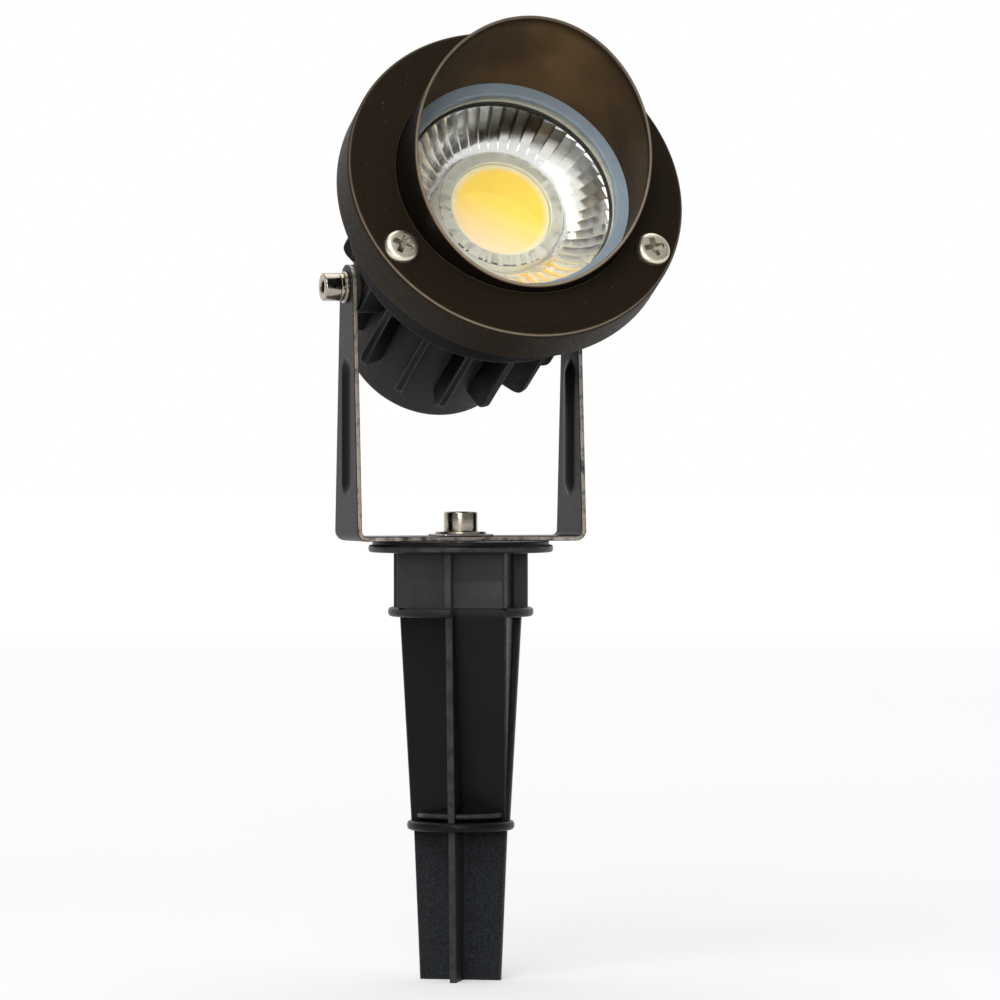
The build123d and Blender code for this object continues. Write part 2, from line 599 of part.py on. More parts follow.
def retainer_ring():
    """Black ring between the reflector's rim and the gasket."""
    return BEAM * tube(CAVITY_RADIUS - LOOSE, RETAINER_BORE, REFLECTOR_RIM, GASKET_LOW)


def reflector():
    """Bright cup from the light source to its rim, with a flat flange under the retainer."""
    lip = REFLECTOR_RIM - REFLECTOR_WALL
    outline = [
        (REFLECTOR_THROAT, BOARD_TOP),
        (REFLECTOR_THROAT + REFLECTOR_WALL, BOARD_TOP),
        (REFLECTOR_MOUTH + REFLECTOR_WALL, lip),
        (CAVITY_RADIUS - LOOSE, lip),
        (CAVITY_RADIUS - LOOSE, REFLECTOR_RIM),
        (REFLECTOR_MOUTH, REFLECTOR_RIM),
    ]
    return BEAM * turned(outline)


def lens_holder():
    """White ring round the light source that carries the lens."""
    return BEAM * tube(LENS_RADIUS, PHOSPHOR_RADIUS + LOOSE, BOARD_TOP, HOLDER_TOP)


def centre_lens():
    """Clear lens with a low crown over the light source."""
    crown_radius = dome(LENS_RADIUS, LENS_CROWN)
    edge_top = HOLDER_TOP + LENS_EDGE
    crown = rod(LENS_RADIUS, HOLDER_TOP, edge_top + LENS_CROWN)
    return BEAM * (crown & Pos(0, 0, edge_top + LENS_CROWN - crown_radius) * Sphere(crown_radius))


def cob_phosphor():
    """Yellow phosphor disc, the light source."""
    return BEAM * rod(PHOSPHOR_RADIUS, BOARD_TOP, BOARD_TOP + PHOSPHOR_THICKNESS)


def cob_board():
    """Round metal-cored board of the light source."""
    return BEAM * rod(BOARD_RADIUS, BOARD_LOW, BOARD_TOP)


def thermal_pad():
    """Soft pad between the board and the heat plate."""
    return BEAM * rod(PAD_RADIUS, HEAT_DECK, BOARD_LOW)


def lead_columns():
    """Sideways places of the two leads."""
    return (-LEAD_SPACING / 2, LEAD_SPACING / 2)


def heat_plate():
    """Aluminium plate on the housing's ledge, with screw holes and holes for the leads."""
    plate = rod(CAVITY_RADIUS - LOOSE, HEAT_SEAT, HEAT_DECK)
    for place in plate_screw_places():
        plate -= place * rod(PLATE_SCREW_RADIUS + SCREW_HOLE_GAP, HEAT_SEAT, HEAT_DECK)
    for x in lead_columns():
        plate -= Pos(x, LEAD_OFFSET, 0) * rod(LEAD_RADIUS + LOOSE, HEAT_SEAT, HEAT_DECK)
    return BEAM * plate


def plate_screws():
    """Three screws that hold the heat plate down."""
    screw = rod(PLATE_SCREW_HEAD_RADIUS, HEAT_DECK, HEAT_DECK + PLATE_SCREW_HEAD_HEIGHT)
    screw += rod(PLATE_SCREW_RADIUS, HEAT_SEAT - PLATE_SCREW_THREAD, HEAT_DECK)
    return BEAM * Compound([place * screw for place in plate_screw_places()])


# Places on the driver board, along the beam
DRIVER_TOP = DRIVER_LEVEL + DRIVER_THICKNESS
DRIVER_FRONT = DRIVER_REAR + DRIVER_LENGTH
COIL_PLACE = DRIVER_REAR + DRIVER_LENGTH / 2
CAPACITOR_PLACE = DRIVER_REAR + COIL_RADIUS
TERMINAL_REAR = DRIVER_FRONT - TERMINAL_LENGTH
LEAD_LEVEL = DRIVER_TOP + TERMINAL_HEIGHT / 2


def driver_board():
    """Circuit board of the driver, on the rails."""
    return BEAM * Pos(0, DRIVER_LEVEL, DRIVER_REAR) * Box(
        DRIVER_WIDTH, DRIVER_THICKNESS, DRIVER_LENGTH, align=(Align.CENTER, Align.MIN, Align.MIN))


def standing(piece):
    """Turns a piece drawn along +Z so that it stands on the driver board."""
    return Pos(0, DRIVER_TOP, 0) * Rot(-90, 0, 0) * piece


def driver_coil():
    """Wound choke, standing on the board."""
    return BEAM * Pos(0, 0, COIL_PLACE) * standing(rod(COIL_RADIUS, 0, COIL_HEIGHT))


def driver_capacitors():
    """Two electrolytic capacitors, standing on the board."""
    can = standing(rod(CAPACITOR_RADIUS, 0, CAPACITOR_LENGTH))
    columns = (-CAPACITOR_SPACING / 2, CAPACITOR_SPACING / 2)
    return BEAM * Compound([Pos(x, 0, CAPACITOR_PLACE) * can for x in columns])


def driver_terminal():
    """Terminal block at the board's front end."""
    return BEAM * Pos(0, DRIVER_TOP, TERMINAL_REAR) * Box(
        TERMINAL_WIDTH, TERMINAL_HEIGHT, TERMINAL_LENGTH, align=(Align.CENTER, Align.MIN, Align.MIN))


def led_leads():
    """Two leads from the terminal block through the heat plate to the board of the light source."""
    leads = []
    for x in lead_columns():
        run = (HEAT_SEAT - DRIVER_FRONT) / 4
        points = [
            (x, LEAD_LEVEL, DRIVER_FRONT),
            (x, LEAD_LEVEL, DRIVER_FRONT + run),
            (x, LEAD_OFFSET, HEAT_SEAT - run),
            (x, LEAD_OFFSET, BOARD_LOW),
        ]
        path = FilletPolyline(*points, radius=LEAD_BEND)
        start = Plane(origin=points[0], z_dir=(0, 0, 1))
        leads.append(sweep(start * Circle(LEAD_RADIUS), path))
    return BEAM * Compound(leads)


# Places along the gland, behind the rear wall
GLAND_HEX_REAR = DRUM_REAR - GLAND_HEX_LENGTH
GLAND_REAR = GLAND_HEX_REAR - GLAND_TAIL
SEAL_RADIUS = SEAL_BORE + SEAL_WALL
LOCKNUT_FRONT = BORE_REAR + LOCKNUT_LENGTH
SEAL_REAR = GLAND_REAR - SEAL_WALL


def gland_body():
    """Gland body: threaded neck through the wall, hexagon behind it and a tail with a seat for the seal."""
    body = rod(GLAND_RADIUS, GLAND_REAR, LOCKNUT_FRONT) + hexagon(GLAND_HEX, GLAND_HEX_REAR, DRUM_REAR)
    body -= rod(GLAND_BORE, GLAND_REAR, LOCKNUT_FRONT)
    return BEAM * (body - rod(SEAL_RADIUS + SLIP, SEAL_REAR, SEAL_REAR + SEAL_LENGTH))


def gland_locknut():
    """Hexagonal nut on the neck, inside the drum."""
    nut = hexagon(GLAND_HEX, BORE_REAR, LOCKNUT_FRONT)
    return BEAM * (nut - rod(GLAND_RADIUS + SLIP, BORE_REAR, LOCKNUT_FRONT))


def gland_seal():
    """Rubber sleeve that closes on the cable."""
    return BEAM * tube(SEAL_RADIUS, SEAL_BORE, SEAL_REAR, SEAL_REAR + SEAL_LENGTH)


def gland_nut():
    """Domed cap nut that presses the seal."""
    end = SEAL_REAR - NUT_END
    nut = rod(NUT_RADIUS, end, GLAND_HEX_REAR)
    nut = fillet(nut.edges().sort_by(Axis.Z)[0], NUT_END)
    nut -= rod(GLAND_RADIUS + SLIP, SEAL_REAR, GLAND_HEX_REAR)
    return BEAM * (nut - rod(GLAND_BORE, end, SEAL_REAR))


PIECES = [
    ground_stake, stake_insert, plate_washer, stake_washer, stake_bolt, yoke_bracket,
    pivot_screws, pivot_spring_washers, pivot_flat_washers, pivot_friction_pads,
    housing, bezel, bezel_screws, glare_hood, glass_gasket, front_glass, retainer_ring, reflector,
    lens_holder, centre_lens, cob_phosphor, cob_board, thermal_pad, heat_plate, plate_screws,
    driver_board, driver_coil, driver_capacitors, driver_terminal, led_leads,
    gland_body, gland_locknut, gland_seal, gland_nut,
]

os.makedirs("parts", exist_ok=True)
for piece in PIECES:
    export_step(piece(), f"parts/{piece.__name__}.step")
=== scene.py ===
"""Garden spotlight on a ground stake: every piece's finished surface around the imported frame, in
metres."""
import json
import math

import bmesh
import bpy
import numpy as np
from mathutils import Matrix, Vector


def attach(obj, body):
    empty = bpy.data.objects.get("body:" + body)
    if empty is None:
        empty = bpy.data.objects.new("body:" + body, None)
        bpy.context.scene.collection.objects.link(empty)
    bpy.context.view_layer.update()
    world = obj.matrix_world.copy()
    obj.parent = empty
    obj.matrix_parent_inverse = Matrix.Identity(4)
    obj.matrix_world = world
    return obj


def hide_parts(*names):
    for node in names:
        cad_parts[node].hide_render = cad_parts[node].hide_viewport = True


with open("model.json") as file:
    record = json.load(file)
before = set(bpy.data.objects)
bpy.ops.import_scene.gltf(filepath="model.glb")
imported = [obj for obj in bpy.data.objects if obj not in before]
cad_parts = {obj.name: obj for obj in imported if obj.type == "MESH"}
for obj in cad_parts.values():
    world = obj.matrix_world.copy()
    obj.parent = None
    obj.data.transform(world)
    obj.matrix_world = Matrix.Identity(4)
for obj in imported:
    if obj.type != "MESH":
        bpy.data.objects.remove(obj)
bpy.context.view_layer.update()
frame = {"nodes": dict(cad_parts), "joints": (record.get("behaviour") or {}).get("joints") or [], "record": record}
joints = {joint["name"]: joint for joint in frame["joints"]}
mounts = {mount["name"]: mount for mount in frame["record"]["mounts"]}

# Ground stake: one black plastic moulding that is pushed into the soil.  A round seat carries the yoke,
# and under it stand a square hub, four crossed fins that taper to a point, two rings, two wedge tongues
# and a scooped collar.
seat = joints["yoke_swivel"]["pos_m"][2]
stake_turn = math.radians(-29.0)
flange_radius = 0.0232
flange_rim = 0.0019
step_radius = 0.0222
step_height = 0.0010
step_edge = 0.0003
step_root = 0.0002
hub_side = 0.0274
hub_height = 0.0137
hub_corner = 0.0009
hub_seam = 0.00012
hub_fin_radius = 0.0171
stake_fin = 0.0017
stake_fin_edge = 0.00045
stake_fin_fillet = 0.0010
ring_thickness = 0.0024
upper_ring_radius = 0.0183
notch_start = math.radians(-41.0)
notch_stop = math.radians(92.6)
lower_ring_radius = 0.0135
ring_core = 0.0070
middle_length = 0.0512
middle_top_radius = 0.0155
middle_low_radius = 0.0126
lower_top_radius = 0.0119
ground_radius = 0.0104
shoulder_depth = 0.0200
shoulder_radius = 0.0094
tip_depth = 0.0520
tip_radius = 0.0008
tongue_width = 0.0140
tongue_low_width = 0.0117
tongue_depth = 0.0126
tongue_corner = 0.0018
tongue_edge = 0.0006
cove_height = 0.0042
cove_inset = 0.0016
cove_lip = 0.0013
cove_groove = 0.0007
cove_edge = 0.0006
pebble_fade = 0.0020
dust_fade = 0.0006

flange_low = seat - step_height - flange_rim
hub_low = flange_low - hub_height
upper_ring_low = hub_low - ring_thickness
lower_ring_high = upper_ring_low - middle_length
lower_ring_low = lower_ring_high - ring_thickness


def lengths(vectors):
    """Length of each vector, kept just above nought so that it can divide."""
    least = 1e-12
    return np.maximum(np.linalg.norm(vectors, axis=-1, keepdims=True), least)


def softened(corners, ease, steps=5, closed=True):
    """Outline with rounded corners, on the last two axes of an array: each corner c becomes the curve
    (1-t)^2 a + 2t(1-t) c + t^2 b, where a and b lie `ease` before and after it, at most nearly half way to
    the next corner."""
    most = 0.49
    corners = np.asarray(corners, float)
    before = np.roll(corners, 1, axis=-2)
    after = np.roll(corners, -1, axis=-2)
    if not closed:
        before[..., 0, :] = corners[..., 0, :]
        after[..., -1, :] = corners[..., -1, :]
    ease = np.broadcast_to(np.asarray(ease, float), corners.shape[:-1])[..., None]
    back = before - corners
    ahead = after - corners
    a = (corners + back * np.minimum(ease / lengths(back), most))[..., None, :]
    b = (corners + ahead * np.minimum(ease / lengths(ahead), most))[..., None, :]
    t = np.linspace(0, 1, steps)[:, None]
    curve = (1 - t) ** 2 * a + 2 * t * (1 - t) * corners[..., None, :] + t ** 2 * b
    outline = curve.reshape(*corners.shape[:-2], -1, corners.shape[-1])
    if closed:
        outline = np.concatenate([outline, outline[..., :1, :]], axis=-2)
    return outline


def stacked(sections, levels):
    """Surface through flat sections (rows x points x 2), one at each level along Z."""
    heights = np.broadcast_to(np.asarray(levels, float)[:, None, None], (*sections.shape[:2], 1))
    return np.concatenate([sections, heights], axis=-1)


def capped(grid):
    """The grid with its first and last rows closed by fans to their middles."""
    first = np.broadcast_to(grid[:1].mean(axis=1, keepdims=True), grid[:1].shape)
    last = np.broadcast_to(grid[-1:].mean(axis=1, keepdims=True), grid[-1:].shape)
    return np.concatenate([first, grid, last])


def polar(radius, angle, level):
    """Points (r cos a, r sin a, level) about Z, from arrays that fit each other."""
    return np.stack(np.broadcast_arrays(radius * np.cos(angle), radius * np.sin(angle), level), axis=-1)


def turned(profile, sides=128):
    """Surface of revolution about Z: rows of (radius, level) points carried round at equal angles."""
    profile = np.asarray(profile)
    return polar(profile[:, :1], np.linspace(0, 2 * np.pi, sides + 1), profile[:, 1:])


def arc_swept(profile, start, stop, sides=64):
    """A closed profile of (radius, level) points swept about Z from one angle to another, its ends
    closed."""
    angle = np.linspace(start, stop, sides)[:, None]
    return capped(polar(profile[:, 0], angle, profile[:, 1]))


def about_z(points, angle):
    """Points turned about Z: (x cos a - y sin a, x sin a + y cos a, z)."""
    c = math.cos(angle)
    s = math.sin(angle)
    return points @ np.array([[c, s, 0], [-s, c, 0], [0, 0, 1]])


def grid_faces(rows, columns):
    """Quads between neighbouring rows and columns of a grid of points."""
    corner = np.arange(rows * columns).reshape(rows, columns)
    quads = np.stack([corner[:-1, :-1], corner[:-1, 1:], corner[1:, 1:], corner[1:, :-1]], axis=-1)
    return quads.reshape(-1, 4)


def moulded(name, grids, crease=35, wear=None):
    """One object from grids of points (rows x columns x 3).  Seams and poles are grid edges that lie on
    each other, so merging doubles closes them.  Edges over the crease angle stay sharp, and wear and
    painted light (one array of rows x columns for each grid) is kept as a vertex attribute for the finish."""
    merge = 1e-6
    sizes = [grid.shape[0] * grid.shape[1] for grid in grids]
    starts = np.concatenate([[0], np.cumsum(sizes)[:-1]])
    faces = [grid_faces(*grid.shape[:2]) + start for grid, start in zip(grids, starts)]
    mesh = bpy.data.meshes.new(name)
    mesh.from_pydata(np.concatenate([grid.reshape(-1, 3) for grid in grids]), [], np.concatenate(faces))
    if wear is not None:
        at_points = np.concatenate([np.broadcast_to(w, g.shape[:2]).ravel() for w, g in zip(wear, grids)])
        mesh.attributes.new("wear", "FLOAT", "POINT").data.foreach_set("value", at_points.astype(np.float32))
    shape = bmesh.new()
    shape.from_mesh(mesh)
    bmesh.ops.remove_doubles(shape, verts=shape.verts, dist=merge)
    bmesh.ops.dissolve_degenerate(shape, edges=shape.edges, dist=merge)
    bmesh.ops.recalc_face_normals(shape, faces=shape.faces)
    shape.to_mesh(mesh)
    shape.free()
    mesh.shade_smooth()
    mesh.set_sharp_from_angle(angle=math.radians(crease))
    piece = bpy.data.objects.new(name, mesh)
    bpy.context.scene.collection.objects.link(piece)
    return piece


def crossed_fins(reach, half):
    """Corners of a plus sign for each reach and half thickness, twelve to a section, counter-clockwise."""
    r = np.asarray(reach, float)[:, None]
    h = np.asarray(half, float)[:, None]
    x = np.concatenate([r, r, h, h, -h, -h, -r, -r, -h, -h, h, h], axis=1)
    y = np.concatenate([-h, h, h, r, r, h, h, -h, -h, -r, -r, -h], axis=1)
    return np.stack([x, y], axis=-1)


def stake_fins():
    """Plus-shaped section with filleted inner corners, carried down the stake's axis to the point."""
    levels = [flange_low + flange_rim / 2, hub_low, upper_ring_low, lower_ring_high, lower_ring_low,
              0, -shoulder_depth, -tip_depth]
    reach = [hub_fin_radius, hub_fin_radius, middle_top_radius, middle_low_radius, lower_top_radius,
             ground_radius, shoulder_radius, tip_radius]
    half = np.minimum(stake_fin / 2, np.asarray(reach) / 2)
    ease = [stake_fin_edge, stake_fin_edge, stake_fin_fillet] * 4
    return capped(stacked(softened(crossed_fins(reach, half), ease), levels))


def stake_hub():
    """Square section with round corners, carried up the hub, drawn in at a faint seam half way up."""
    middle = (hub_low + flange_low) / 2
    seam = 3 * hub_seam
    levels = np.array([hub_low, middle - seam, middle, middle + seam, flange_low + flange_rim / 2])
    half = hub_side / 2 - np.array([0, 0, hub_seam, 0, 0])
    corners = half[:, None, None] * np.array([[-1, -1], [1, -1], [1, 1], [-1, 1]])
    return capped(stacked(softened(corners, hub_corner), levels))


def stake_tongue():
    """Wedge on one side of a fin: a rectangle whose depth and width fall evenly from the hub to the lower
    ring.  Its upper outer corner is rounded by a radius R: the width there is W - R + sqrt(R^2 - d^2), d
    being the way down to the corner's centre."""
    rounding = tongue_corner * (1 - np.cos(np.linspace(0, np.pi / 2, 9)))
    levels = np.concatenate([hub_low - rounding, [lower_ring_high]])
    corner = np.append(np.sqrt(tongue_corner ** 2 - (tongue_corner - rounding) ** 2), tongue_corner)
    fall = (hub_low - levels) / (hub_low - lower_ring_high)
    width = tongue_width + (tongue_low_width - tongue_width) * fall - tongue_corner + corner
    depth = tongue_depth + (stake_fin / 2 - tongue_depth) * fall
    depth[0] -= tongue_edge
    depth[1] -= tongue_edge / 2
    zero = 0 * width
    corners = np.stack([np.stack([zero, zero], -1), np.stack([zero, -depth], -1),
                        np.stack([width, -depth], -1), np.stack([width, zero], -1)], axis=1)
    return capped(stacked(softened(corners, [0, 0, tongue_edge, 0]), levels))


def ring_profile(radius, low, high):
    """Closed (radius, level) outline of a ring with a half-round rim."""
    corners = [[ring_core, low], [radius, low], [radius, high], [ring_core, high]]
    return softened(corners, [0, (high - low) / 2, (high - low) / 2, 0], steps=9)


def cove_profile():
    """Collar outline: a rounded lip above a groove, then a quarter of an ellipse that is hollowed up and
    in to the axis."""
    lip_radius = middle_low_radius - cove_inset
    lip_low = lower_ring_high + cove_groove
    lip_high = lip_low + cove_lip
    core = stake_fin / 4
    bend = np.linspace(0, np.pi / 2, 25)[2:]
    radius = lip_radius - (lip_radius - core) * np.sin(bend)
    scoop = np.stack([radius, lip_high + cove_height * (1 - np.cos(bend))], axis=-1)
    lip = softened([[0, lip_low], [lip_radius, lip_low], [lip_radius, lip_high], scoop[0]],
                   [0, cove_edge / 2, cove_edge, 0], steps=7, closed=False)
    return np.concatenate([lip, scoop, [[0, lip_high + cove_height]]])


flange_profile = softened(
    [[0, seat], [step_radius, seat], [step_radius, seat - step_height], [flange_radius, seat - step_height],
     [flange_radius, flange_low], [0, flange_low]],
    [0, step_edge, step_root, flange_rim / 2, flange_rim / 2, 0], steps=9, closed=False)
upper_ring = ring_profile(upper_ring_radius, upper_ring_low, hub_low)
stake_grids = {
    "flange": turned(flange_profile),
    "hub": stake_hub(),
    "fins": stake_fins(),
    "right half ring": arc_swept(upper_ring, notch_start, notch_stop),
    "left half ring": arc_swept(upper_ring, notch_start + np.pi, notch_stop + np.pi),
    "lower ring": turned(ring_profile(lower_ring_radius, lower_ring_low, lower_ring_high)),
    "collar": turned(cove_profile()),
    "right tongue": stake_tongue(),
    "left tongue": about_z(stake_tongue(), np.pi),
}


def stake_painted_light():
    """Painted light of each grid of the stake, by its rows and columns: the middle of the flange's rim, the
    outer edges of the fins, the upper edge of the collar's lip and the outer edges of the tongues carry
    painted highlights (lighter lines), and the hub's right face carries painted shade (-1)."""
    shaded_right_face = slice(8, 12)
    fin_highlight_points = slice(1, 9)
    lip_highlight = slice(14, 21)
    tongue_top = (slice(1, 4), slice(5, 15))
    tongue_side = (slice(1, 11), slice(11, 14))
    wear = {name: np.zeros(grid.shape[:2]) for name, grid in stake_grids.items()}
    # Painted highlights: lighter lines on the flange rim's middle, the fin edges, the collar's lip and the tongue
    # edges.
    from_rim_middle = np.abs(stake_grids["flange"][:, 0, 2] - (flange_low + flange_rim / 2))
    wear["flange"][from_rim_middle < 0.3 * flange_rim] = 1.0
    # Painted shade: the hub's right face is marked -1, so that it keeps little dust and stays dark.
    wear["hub"][:, shaded_right_face] = -1.0
    one_fin = np.zeros(15)
    one_fin[fin_highlight_points] = 1.0
    wear["fins"][:, :-1] = np.tile(one_fin, 4)
    wear["collar"][lip_highlight] = 0.9
    for side in ("right tongue", "left tongue"):
        wear[side][tongue_top] = 0.4
        wear[side][tongue_side] = 0.4
    return list(wear.values())


turned_grids = [about_z(grid, stake_turn) for grid in stake_grids.values()]
stake = moulded("stake_moulding", turned_grids, wear=stake_painted_light())


def finish(name):
    """A new node material, its tree and its shader."""
    material = bpy.data.materials.new(name)
    material.use_nodes = True
    return material, material.node_tree, material.node_tree.nodes["Principled BSDF"]


def feed(tree, node, inputs):
    """Fills a node's inputs: those that are sockets are linked, and the others are set as values."""
    for key, value in inputs.items():
        if isinstance(value, bpy.types.NodeSocket):
            tree.links.new(value, node.inputs[key])
        else:
            node.inputs[key].default_value = value


def add(tree, kind, inputs, **settings):
    """Adds a node with settings and fills its inputs."""
    made = tree.nodes.new(kind)
    for key, value in settings.items():
        setattr(made, key, value)
    feed(tree, made, inputs)
    return made


def where(tree):
    """Object coordinates."""
    return add(tree, "ShaderNodeTexCoord", {}).outputs["Object"]


def painted_light_and_wear(tree):
    """The wear and painted light (highlights, shade and reflections) that the mesh keeps at its points."""
    return add(tree, "ShaderNodeAttribute", {}, attribute_name="wear").outputs["Fac"]


def cloud(tree, scale, detail=3.0):
    """Noise value, with features about 1/scale metres across."""
    inputs = {"Vector": where(tree), "Scale": scale, "Detail": detail, "Roughness": 0.55}
    return add(tree, "ShaderNodeTexNoise", inputs).outputs["Fac"]


def spread(tree, value, start, stop, low, high):
    """Maps start..stop of a value to low..high, held at both ends."""
    inputs = {"Value": value, "From Min": start, "From Max": stop, "To Min": low, "To Max": high}
    return add(tree, "ShaderNodeMapRange", inputs).outputs["Result"]


def uneven(tree, scale, low, high):
    """A value that wanders from low to high in a cloud of the given scale."""
    return spread(tree, cloud(tree, scale), 0.3, 0.7, low, high)


def mixed(tree, factor, first, second):
    """Colour from first (factor 0) to second (factor 1).  Each is a socket or a colour."""
    mix = add(tree, "ShaderNodeMix", {0: factor}, data_type="RGBA")
    for index, colour in ((6, first), (7, second)):
        if isinstance(colour, bpy.types.NodeSocket):
            tree.links.new(colour, mix.inputs[index])
        else:
            mix.inputs[index].default_value = (*colour, 1)
    return mix.outputs[2]


def product(tree, first, second):
    """Two values multiplied."""
    return add(tree, "ShaderNodeMath", {0: first, 1: second}, operation="MULTIPLY").outputs["Value"]


def relief(tree, height, distance, strength):
    """Bumped normal: height 0..1 stands for 0..distance metres."""
    inputs = {"Height": height, "Distance": distance, "Strength": strength}
    return add(tree, "ShaderNodeBump", inputs).outputs["Normal"]


def stake_plastic():
    """Black nylon: smooth in the middle, pebbled on the fins that go into the ground, with pebble tops lighter
    as a painted highlight, dusty on the hub but for its right face, which is dark as painted shade, and
    lighter grey on edges as painted highlights."""
    material, tree, shader = finish("stake_plastic")
    height = add(tree, "ShaderNodeSeparateXYZ", {"Vector": where(tree)}).outputs["Z"]
    lower = spread(tree, height, lower_ring_low, lower_ring_low - pebble_fade, 0, 1)
    above_ring = spread(tree, height, upper_ring_low, hub_low, 0, 1)
    hub = product(tree, above_ring, spread(tree, height, flange_low - dust_fade, flange_low, 1, 0))
    shade = mixed(tree, cloud(tree, 70), (0.0064, 0.0065, 0.0067), (0.0098, 0.0100, 0.0103))
    dusty = mixed(tree, cloud(tree, 260, 5), (0.027, 0.0285, 0.030), (0.050, 0.052, 0.055))
    pebbles = cloud(tree, 2200, 4)
    # Painted highlight: the pebbles' raised tops are coloured lighter than their hollows.
    painted_pebble_highlights = spread(tree, pebbles, 0.40, 0.75, 0, 1)
    buried = mixed(tree, painted_pebble_highlights, (0.010, 0.0112, 0.0125), (0.036, 0.041, 0.047))
    wear = painted_light_and_wear(tree)
    # Painted shade: the hub's right face (-1) keeps little of the lighter dust.
    dust = product(tree, hub, spread(tree, wear, -1, 0, 0.1, 1))
    colour = mixed(tree, dust, mixed(tree, lower, shade, buried), dusty)
    # Painted highlights: edges marked in the attribute are mixed towards a lighter grey.
    painted_highlight = product(tree, wear, spread(tree, cloud(tree, 300, 4), 0.35, 0.65, 0.35, 0.95))
    colour = mixed(tree, painted_highlight, colour, (0.064, 0.065, 0.062))
    depth = spread(tree, lower, 0, 1, 0.12, 1.0)
    normal = relief(tree, product(tree, pebbles, depth), 0.0004, 0.9)
    feed(tree, shader, {"Base Color": colour, "Roughness": uneven(tree, 900, 0.26, 0.40),
                        "Specular IOR Level": 0.11, "Normal": normal})
    return material


stake.data.materials.append(stake_plastic())
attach(stake, "stake")
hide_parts("ground_stake")

# Stake fixings: a brass insert moulded into the hub takes one M5 hexagon-socket screw of nickel-plated
# steel, over a round washer and a square plate washer of pressed steel that spread its load on the yoke's
# base.
yoke_sheet = 0.0012
plate_side = 0.0134
plate_clip = 0.0011
plate_thickness = 0.0005
plate_edge = 0.00015
washer_radius = 0.0064
washer_thickness = 0.0006
washer_edge = 0.00015
washer_clearance = 0.0002
bolt_radius = 0.0025
bolt_length = 0.0160
bolt_head_radius = 0.00425
bolt_head_height = 0.0050
bolt_socket = 0.0040
bolt_edge = 0.0005
plate_low = seat + yoke_sheet
washer_low = plate_low + plate_thickness
head_low = washer_low + washer_thickness


def plate(outline, thickness, edge, steps=4):
    """Flat plate from a closed outline, counter-clockwise, with rounded edges: at the angle q the outline
    is drawn in by edge (1 - cos q) at the height half - edge (1 - sin q), and both faces close to their
    middles."""
    ring = outline[:-1]
    along = np.roll(ring, -1, axis=0) - np.roll(ring, 1, axis=0)
    inward = np.stack([-along[:, 1], along[:, 0]], axis=-1)
    inward = inward / lengths(inward)
    inward = np.concatenate([inward, inward[:1]])
    q = np.linspace(0, np.pi / 2, steps)
    inset = edge * np.concatenate([1 - np.cos(q[::-1]), 1 - np.cos(q)])
    rise = thickness / 2 - edge + edge * np.sin(q)
    return capped(stacked(outline + inset[:, None, None] * inward, np.concatenate([-rise[::-1], rise])))


def cap_screw(head_radius, head_height, shank_radius, shank_length, socket, edge, sides=96):
    """Cap screw along Z with its head's underside at 0: a turned profile whose socket rows take the radius
    apothem / cos(a), with a the angle from the middle of the hexagon's side."""
    angle = np.linspace(0, 2 * np.pi, sides + 1)
    hexagon = 1 / np.cos((angle + np.pi / 6) % (np.pi / 3) - np.pi / 6)
    half = socket / 2
    mouth = 1.30 * half
    chamfer = 1.16 * half
    chamfer_low = head_height - 0.14 * half
    wall_high = head_height - 0.16 * half
    wall_low = 0.50 * head_height
    socket_low = 0.44 * head_height
    outside = softened(
        [[0, -shank_length], [shank_radius - edge, -shank_length], [shank_radius, edge - shank_length],
         [shank_radius, 0], [head_radius, 0], [head_radius, head_height], [mouth, head_height]],
        [0, 0, 0, 0, edge / 2, edge, 0], closed=False)
    lip = np.array([[chamfer, chamfer_low]])
    wall = np.array([[half, wall_high], [half, wall_low]])
    floor = np.array([[0, socket_low]])
    round_rows = turned(np.concatenate([outside, lip]), sides)
    hex_rows = turned(wall, sides) * np.stack([hexagon, hexagon, 1 + 0 * angle], axis=-1)
    return np.concatenate([round_rows, hex_rows, turned(floor, sides)])


def bright_steel(name, dark, light, smooth, dull):
    """Nickel-plated steel between two warm shades, with fine turning marks, dull patches and dark
    recesses."""
    material, tree, shader = finish(name)
    plating = mixed(tree, cloud(tree, 350, 4), dark, light)
    tint = mixed(tree, product(tree, painted_light_and_wear(tree), 0.8), plating, (0.17, 0.15, 0.115))
    patches = spread(tree, cloud(tree, 900, 4), 0.35, 0.7, smooth, dull)
    marks = relief(tree, cloud(tree, 2500), 0.00004, 0.5)
    feed(tree, shader, {"Base Color": tint, "Metallic": 1.0, "Roughness": patches, "Normal": marks})
    return material


def plate_steel():
    """Zinc-plated pressing, duller than the screws."""
    material, tree, shader = finish("plate_steel")
    tint = mixed(tree, cloud(tree, 300, 4), (0.42, 0.41, 0.39), (0.58, 0.57, 0.55))
    feed(tree, shader, {"Base Color": tint, "Metallic": 1.0, "Roughness": uneven(tree, 700, 0.30, 0.46)})
    return material


def brass():
    """Turned brass with a dull film."""
    material, tree, shader = finish("brass")
    tint = mixed(tree, cloud(tree, 400), (0.55, 0.36, 0.13), (0.68, 0.48, 0.20))
    feed(tree, shader, {"Base Color": tint, "Metallic": 1.0, "Roughness": uneven(tree, 600, 0.26, 0.42)})
    return material


def dress(names, material):
    """Gives CAD nodes a material through their objects' slots."""
    for name in names:
        for held in frame["nodes"][name].material_slots:
            held.material = material


half_plate = plate_side / 2
plate_outline = softened(half_plate * np.array([[-1, -1], [1, -1], [1, 1], [-1, 1]]), plate_clip, steps=4)
plate_grid = plate(plate_outline, plate_thickness, plate_edge)
plate_piece = moulded("plate_washer_steel", [plate_grid + [0, 0, plate_low + plate_thickness / 2]])
plate_piece.data.materials.append(plate_steel())
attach(plate_piece, "stake")
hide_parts("plate_washer")


